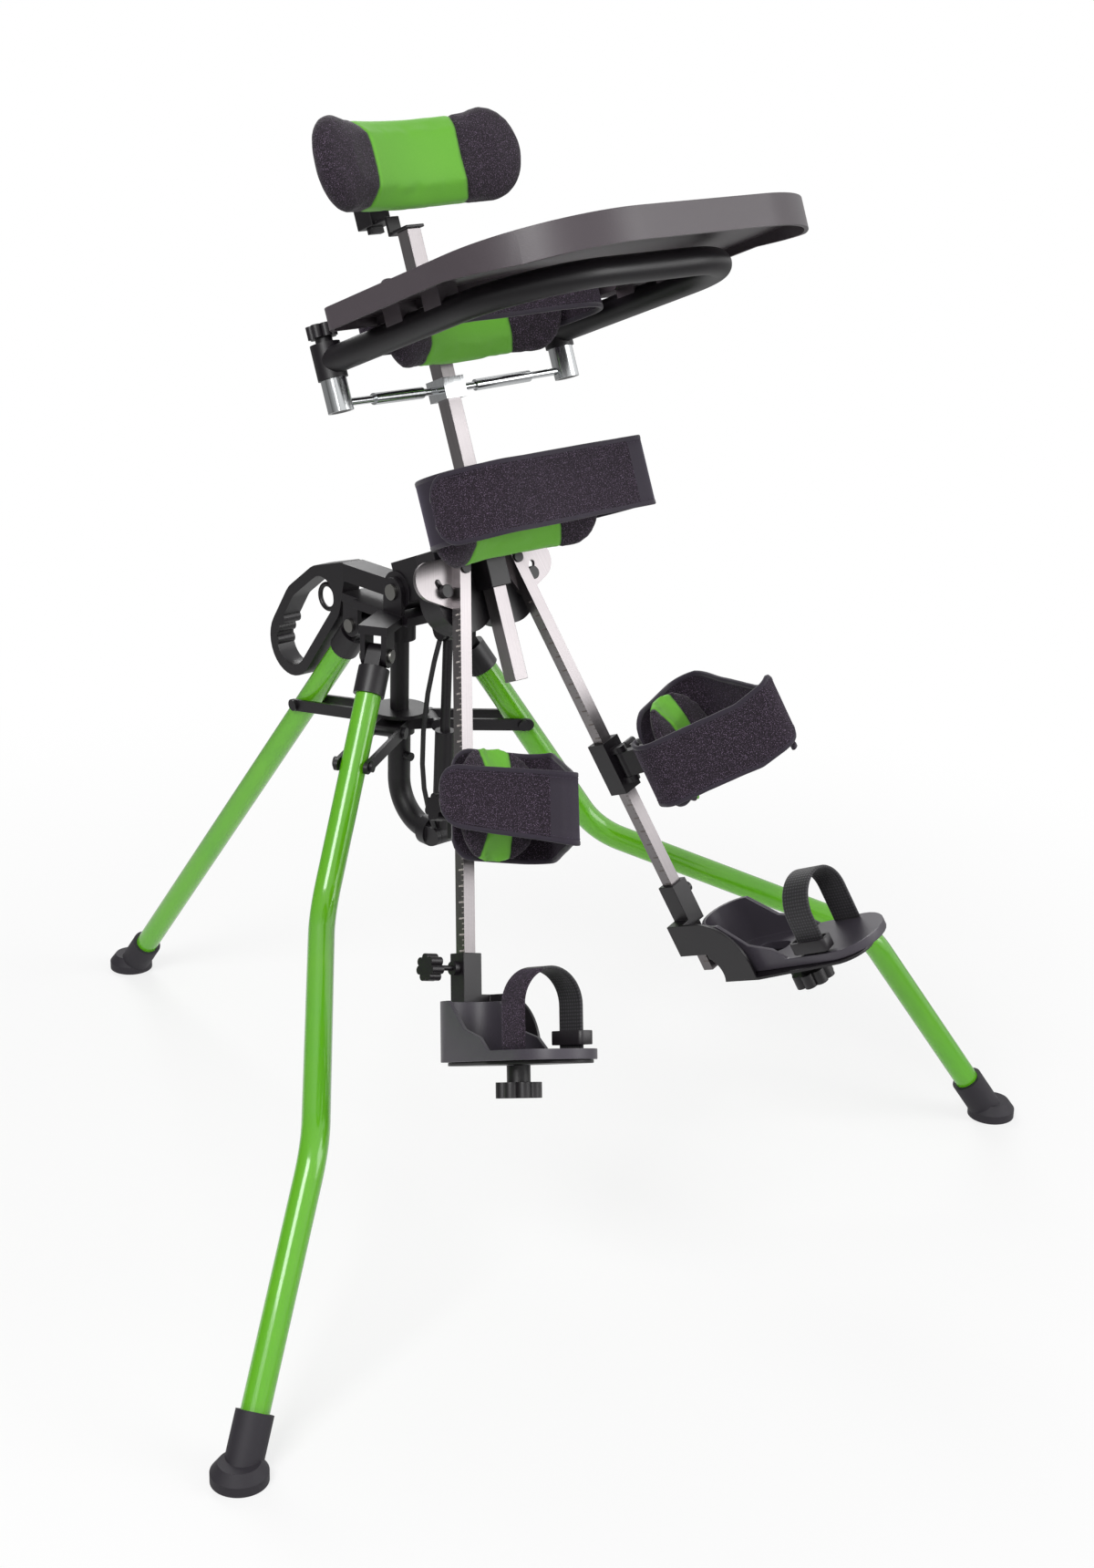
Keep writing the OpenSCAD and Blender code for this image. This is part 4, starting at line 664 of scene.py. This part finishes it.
def repeat(name, spots, place, size_mm, is_round, finish, body):
    """Sets the tree's shape on spots of (point, along, out), which are in millimetres in the frame place."""
    mesh = bpy.data.meshes.new(name)
    mesh.from_pydata([place @ (Vector(s[0]) * MM) for s in spots], [], [])
    turn = place.to_3x3()
    for label, k in (("along", 1), ("out", 2)):
        values = [c for s in spots for c in (turn @ Vector(s[k])).normalized()]
        mesh.attributes.new(label, "FLOAT_VECTOR", "POINT").data.foreach_set("vector", values)
    piece = object_of(name, mesh)
    tool = piece.modifiers.new("set_on_points", "NODES")
    tool.node_group = repeat_tree
    sockets = {i.name: i.identifier for i in repeat_tree.interface.items_tree if i.in_out == "INPUT"}
    tool[sockets["Size"]] = [s * MM for s in size_mm]
    tool[sockets["Round"]] = is_round
    tool[sockets["Finish"]] = finish
    settle(piece)
    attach(piece, body)
    return piece


def speckled_finish(name, colour, other, rough):
    mat, t, here = new_finish(name)
    worn = blend(t, speckle(t, here, 260.0, 2.0), paint(colour), paint(other))
    close_finish(t, Base_Color=worn, Roughness=rough)
    return mat


# Thread is a shade lighter than the cloth, so the rows read as a fine broken line
thread = speckled_finish("polyester_thread", "#2a2230", "#453a4c", 0.7)
# Engraved marks: the right bar's are a painted highlight, pale as if catching the light; the left bar's hold
# ink
painted_highlight_mark = speckled_finish("engraved_mark_painted_highlight", "#b9b2ae", "#8f8884", 0.5)
dark_mark = speckled_finish("engraved_mark_dark", "#4a4341", "#7a716e", 0.6)

# %% Graduations on the leg bars
BAR_HALF, FIRST_MARK, LAST_MARK = 6.35, 45, 450
# Name, pitch along the bar, length, thickness and distance from the middle of the face
MARKS = (("long", 15, 7.4, 1.6, 2.5), ("short", 5, 3.0, 0.8, 4.7))
# The right bar's marks carry the painted highlight, the left bar's the dark ink
for side, mark, face in (("right", painted_highlight_mark, 1), ("left", dark_mark, -1)):
    for label, pitch, tick, thick, edge in MARKS:
        heights = range(FIRST_MARK, LAST_MARK + 1, pitch)
        spots = [((face * BAR_HALF, -edge, -d), (0, 1, 0), (face, 0, 0)) for d in heights]
        repeat(side + "_scale_" + label, spots, side_frame(side), (tick, thick, 0.12), False, mark,
               side + "_leg_bar")

# %% [markdown]
# ## Straps
# The hip, chest and knee straps are 4 mm foam bands with a bound edge. A band is a loft of rounded sections
# along rows of (x, y, height, lift), so it can taper, rise and end in a round tongue. The hip strap closes
# with a loop-pile flap laid over its front, and each knee cuff is a cup with a strap across its open side.


# %% Paths in plan
def arc(cx, cy, r, a0, a1, n=12):
    """Points on an arc between two angles in degrees."""
    return [(cx + r * math.cos(math.radians(a0 + (a1 - a0) * i / n)),
             cy + r * math.sin(math.radians(a0 + (a1 - a0) * i / n))) for i in range(n + 1)]


def even(pts, step, closed=False):
    """The same path at even steps."""
    line = [Vector(p) for p in pts] + ([Vector(pts[0])] if closed else [])
    total = sum((b - a).length for a, b in zip(line, line[1:]))
    count = round(total / step)
    out, i, done = [], 0, 0.0
    for k in range(count + (0 if closed else 1)):
        want = total * k / count - 1e-6
        while i < len(line) - 2 and done + (line[i + 1] - line[i]).length < want:
            done += (line[i + 1] - line[i]).length
            i += 1
        piece = line[i + 1] - line[i]
        out.append(line[i] + piece * ((want - done) / max(piece.length, 1e-9)))
    return out


def loop_corners(width, deep, back_r, right_r, left_r, grow=0.0):
    """The four rounded corners of a strap loop, on the middle of the band, from the back left one on."""
    t = STRAP / 2
    w, f = width / 2 - t, deep - t
    b, r, s = back_r - t, right_r - t, left_r - t
    return (arc(w - b, -t - b, b + grow, 90, 0), arc(w - r, -f + r, r + grow, 0, -90),
            arc(-w + s, -f + s, s + grow, -90, -180), arc(-w + b, -t - b, b + grow, 180, 90))


def tear_arcs(half, back_r, deep, tip_r, grow=0.0):
    """The knee cuff's drop shape: two back corners and the tip in front."""
    t = STRAP / 2
    b, r, h = back_r - t, tip_r - t, half - t
    cx, cy, ty = h - b, -t - b, -deep + t + r
    lean = math.degrees(math.atan2(cx, cy - ty) + math.asin((b - r) / math.hypot(cx, cy - ty)))
    return (arc(cx, cy, b + grow, 90, -lean, 10), arc(0, ty, r + grow, -lean, -180 + lean, 10),
            arc(-cx, cy, b + grow, -180 + lean, -270, 10))


# %% Bands
# A section has FACE points on each face; those of EDGE lie on the bound edges
FACE = 13
EDGE = {0, 1, 2, 3, 22, 23, 24, 25}, set(range(9, 17))
BAND_THICK = 3.9
OVERLAP = 4.2
STITCH, STITCH_IN, STITCH_OUT = (2.7, 0.7, 0.6), 6.2, 1.65


def strap_section(height, thick, rim=4.5, proud=0.35):
    """Height and half thickness of a flat face with a proud bound edge, then the other face."""
    h, t = height / 2, thick / 2
    low = [(-h + 0.25, t * 0.55), (-h + 1.2, t), (-h + rim - 0.4, t), (-h + rim, t - proud)]
    mids = [(-h + rim + (2 * h - 2 * rim) * k / 6, t - proud) for k in range(1, 6)]
    face = low + mids + [(-z, x) for z, x in reversed(low)]
    return face + [(z, -x) for z, x in reversed(face)]


def band_frame(rows, i, closed):
    """Direction along the band and out of it at one row."""
    a = rows[i - 1] if closed or i else rows[0]
    b = rows[(i + 1) % len(rows)] if closed or i < len(rows) - 1 else rows[-1]
    along = Vector((b[0] - a[0], b[1] - a[1])).normalized()
    return along, Vector((-along.y, along.x))


def band_point(rows, i, closed, z, depth, wave, seed):
    """A point of the band; cloth strays sideways and up by up to wave millimetres."""
    x, y, height, lift = rows[i]
    s = 2 * math.pi * i / len(rows)
    turn = Vector((math.cos(s) * 2.2, math.sin(s) * 2.2, seed))
    out = band_frame(rows, i, closed)[1]
    aside = depth + wave * 1.6 * noise.noise(turn) * z / height
    rise = lift + 0.7 * wave * noise.noise(turn * 0.6 + Vector((0, 0, 7)))
    return x + out.x * aside, y + out.y * aside, z + rise


def strap(name, rows, place, finishes, body, node, closed=False, wave=1.0, seed=0.0, sewn=None,
          plain=range(0)):
    """A band with its thread; sewn is the side of the path that the stitches show on, and the rows in
    plain show the third finish."""
    points = [band_point(rows, i, closed, z, depth, wave, seed) for i, row in enumerate(rows)
              for z, depth in strap_section(row[2], BAND_THICK)]
    n = 2 * FACE
    piece = mesh_piece(name, points, loft_faces(len(rows), n, closed), place, *finishes)
    outward(piece)
    for poly in piece.data.polygons:
        spots = {v % n for v in poly.vertices}
        bound = len(spots) > 4 or any(spots <= e for e in EDGE)
        poly.material_index = 1 if bound else 2 if min(poly.vertices) // n in plain else 0
    seams = []
    if sewn:
        spots = []
        for i in range(1, len(rows) - 1):
            along, out = band_frame(rows, i, closed)
            for edge in (-1, 1):
                z = edge * (rows[i][2] / 2 - STITCH_IN)
                spot = band_point(rows, i, closed, z, sewn * STITCH_OUT, wave, seed)
                spots.append((spot, (along.x, along.y, 0), (sewn * out.x, sewn * out.y, 0)))
        seams = [repeat(name + "_thread", spots, place, STITCH, True, thread, body)]
    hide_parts(node)
    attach(piece, body)
    return piece


def round_end(rows, corner):
    """Rounds the last end of an open band: heights shrink as the corner's arc does."""
    done, out = 0.0, []
    for i in reversed(range(len(rows))):
        x, y, height, lift = rows[i]
        done += math.dist(rows[i][:2], rows[i + 1][:2]) if i < len(rows) - 1 else 0.4
        if done < corner:
            height -= 2 * (corner - math.sqrt(corner ** 2 - (corner - done) ** 2))
        out.append((x, y, height, lift))
    return out[::-1]


# %% Hip and chest straps
pile_band = (loop_pile, binding)
plain_band = (neoprene, binding)
HIP_LOOP = {"width": 222, "deep": 112, "back_r": 58, "right_r": 16, "left_r": 54}
CHEST_LOOP = {"width": 244, "deep": 124, "back_r": 44, "right_r": 56, "left_r": 56}
HIP_HIGH, FLAP_HIGH, FLAP_LIFT, CHEST_HIGH = 65, 67, -1.5, 52
HIP_ASIDE = 3


def loop_rows(loop, height):
    return [(p.x, p.y, height, 0) for p in even(sum(loop_corners(**loop), []), 4, True)]


hip = on_mast(143.8, 54) @ Matrix.Translation((HIP_ASIDE * MM, 0, 0))
strap("hip_band", loop_rows(HIP_LOOP, HIP_HIGH), hip, plain_band, "hip_support", "hip_strap", closed=True,
      wave=1.0, seed=1.0)
_, right, left, _ = loop_corners(**HIP_LOOP, grow=OVERLAP)
rows = [(p.x, p.y, FLAP_HIGH, FLAP_LIFT) for p in even(right[8:] + left, 4)]
strap("hip_flap", round_end(rows, 24), hip, (*pile_band, neoprene), "hip_support", "hip_strap", wave=0.8,
      seed=2.0, sewn=1, plain=range(5))
strap("chest_band", loop_rows(CHEST_LOOP, CHEST_HIGH), on_mast(143.6, 234), pile_band, "chest_support",
      "chest_strap", closed=True, wave=1.4, seed=4.0, sewn=1)

# %% Knee straps
CUP, TONGUE, TIP, BACK = 104, 66, -106, -24
LOOSE_END = 4
CUFF = {"half": 64, "back_r": 22, "deep": 130, "tip_r": 12}
DROOP = 15


def cup_height(p):
    """The cup falls from the pad's height at the back to the strap's height at the tip."""
    return TONGUE + (CUP - TONGUE) * min(1, max(0, (p.y - TIP) / (BACK - TIP)))


def droop(p):
    """The right cuff hangs lower at its tip."""
    return -DROOP * min(1, max(0, (BACK - p.y) / (CUFF["deep"] + BACK)))


# The right strap runs from a round end on the near side round the tip into the far side of the cup
near, tip, far = tear_arcs(**CUFF)
front = even(near[6:] + tip[:6], 3)
front = [(p.x, p.y, TONGUE - 9 * (1 - i / len(front)), 4.5 * (1 - i / len(front)) + droop(p))
         for i, p in enumerate(front)]
rear = [(p.x, p.y, cup_height(p), droop(p))
        for p in even(tip[5:] + far + [(near[0][0] - STRAP, near[0][1])], 3)]
rows = round_end((front + rear[1:])[::-1], 26)
rows = round_end(rows[::-1], 22)[::-1]
strap("right_knee_band", rows, in_cuff("right"), (*pile_band, neoprene), "right_knee", "right_knee_cuff",
      wave=1.0, seed=9.0, sewn=-1, plain=range(len(rear) - 14, len(rear) + 6))
# The left cup stops at the tip, and its strap runs past the tip and stands up there as a loose end
far, tip, near = tear_arcs(**CUFF)
cup = even([(near[-1][0] + STRAP, near[-1][1])] + far + tip[:7], 3)
rows = round_end([(p.x, p.y, cup_height(p), 0) for p in cup][::-1], 22)[::-1]
strap("left_knee_cup", rows, in_cuff("left"), pile_band, "left_knee", "left_knee_cuff", wave=1.0, seed=12.0)
_, tip, near = tear_arcs(**CUFF, grow=OVERLAP)
line = near[1:][::-1] + tip[4:][::-1]
ahead_of = (Vector(line[-1]) - Vector(line[-2])).normalized()
line.append(tuple(Vector(line[-1]) + ahead_of * LOOSE_END))
tongue = even(line, 3)
rows = [(p.x, p.y, TONGUE + 6 * max(0, i / len(tongue) - 0.6), 60 * max(0, i / len(tongue) - 0.72) ** 1.2)
        for i, p in enumerate(tongue)]
strap("left_knee_band", round_end(rows, 9), in_cuff("left"), pile_band, "left_knee", "left_knee_cuff",
      wave=1.0, seed=15.0, sewn=-1)
print("straps made")

# %% [markdown]
# ## Foot straps
# A foot strap is 30 mm nylon webbing over the instep, sewn to the sole and closed on the inner side by a
# plastic slide. The webbing keeps a map of its own length and width in millimetres for the weave. The right
# strap shows its loop-pile side toward the camera.

# %% Foot straps
# Millimetres from the bar's pivot to the sole's boss, outward, ahead and down; each sandal's turn on it
SOLE_OUT, SOLE_AHEAD, SOLE_TOP = 24, 105, 453.7
SOLE = {"right": 0, "left": 8}
INSTEP_OUT, INSTEP_AHEAD = 4, 24
WEB_WIDE, WEB_THICK, WEB_HALF, WEB_HIGH = 30.0, 3.0, 34.0, 72.0
SLIDE_OUT, SLIDE_UP = 32.2, 10


def in_sole(side):
    """Outer end of the instep strap, on the sandal's sole."""
    sole = Matrix.Translation((SOLE_OUT * MM, -SOLE_AHEAD * MM, -SOLE_TOP * MM))
    turn = Matrix.Rotation(math.radians(SOLE[side]), 4, "Z")
    instep = Matrix.Translation((INSTEP_OUT * MM, -INSTEP_AHEAD * MM, SOFT_GAP * MM))
    return side_frame(side) @ sole @ turn @ instep


def foot_strap(side):
    mid, rise = WEB_HALF - WEB_THICK / 2, WEB_HIGH - WEB_HALF
    far, t = WEB_WIDE / 2, WEB_THICK / 2
    legs = (0.2, 8, 16, 24, 32)
    line = [(-mid, z) for z in legs] + arc(0, rise, mid, 180, 0, 26) + [(mid, z) for z in reversed(legs)]
    section = [(-far, 0.5 - t), *[(1 - far + 4 * k, -t) for k in range(8)], (far, 0.5 - t)]
    section = section + [(y, -x) for y, x in reversed(section)]
    points, run, dist = [], [], 0.0
    for i, (x, z) in enumerate(line):
        a, b = line[max(i - 1, 0)], line[min(i + 1, len(line) - 1)]
        along = Vector((b[0] - a[0], b[1] - a[1])).normalized()
        out = Vector((-along.y, along.x))
        dist += 0 if i == 0 else math.dist(line[i], line[i - 1])
        run.append(dist)
        for y, off in section:
            points.append((x + out.x * off, y - far, z + out.y * off))
    n = len(section)
    faces = loft_faces(len(line), n, False)
    piece = mesh_piece(side + "_instep_webbing", points, faces, in_sole(side), webbing, loop_pile)
    outward(piece)
    uv = piece.data.uv_layers.new(name="weave")
    for loop in piece.data.loops:
        i, k = divmod(loop.vertex_index, n)
        uv.data[loop.index].uv = (section[k][0] * 0.1, run[i] * 0.1)
    for poly in piece.data.polygons:
        poly.material_index = int(side == "right" and min(v // n for v in poly.vertices) > len(line) * 0.55)
    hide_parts(side + "_foot_strap")
    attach(piece, side + "_sandal")


def slide(side):
    """The strap's plastic slide: a rounded frame round the webbing with a bar on its outer side."""
    inner, outer, side_y, r = 2.6, -4.4, 16.4, 3
    loop = (arc(inner, side_y, r, 90, 0, 4) + arc(inner, -side_y, r, 0, -90, 4)
            + arc(outer, -side_y, r, -90, -180, 4) + arc(outer, side_y, r, 180, 90, 4))
    half = [(1.2, -6.2), (1.6, -5.4), (1.6, 5.4), (1.2, 6.2)]
    section = half + [(-off, -z) for off, z in half]
    points = []
    for i, (x, y) in enumerate(loop):
        a, b = loop[i - 1], loop[(i + 1) % len(loop)]
        along = Vector((b[0] - a[0], b[1] - a[1])).normalized()
        for off, z in section:
            points.append((x - SLIDE_OUT - along.y * off, y - WEB_WIDE / 2 + along.x * off, z + SLIDE_UP))
    faces = loft_faces(len(loop), len(section), True)
    piece = mesh_piece(side + "_strap_slide", points, faces, in_sole(side), abs_black)
    outward(piece)
    piece.data.set_sharp_from_angle(angle=math.radians(40))
    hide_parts(side + "_foot_strap")
    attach(piece, side + "_sandal")


for side in ("right", "left"):
    foot_strap(side)
    slide(side)
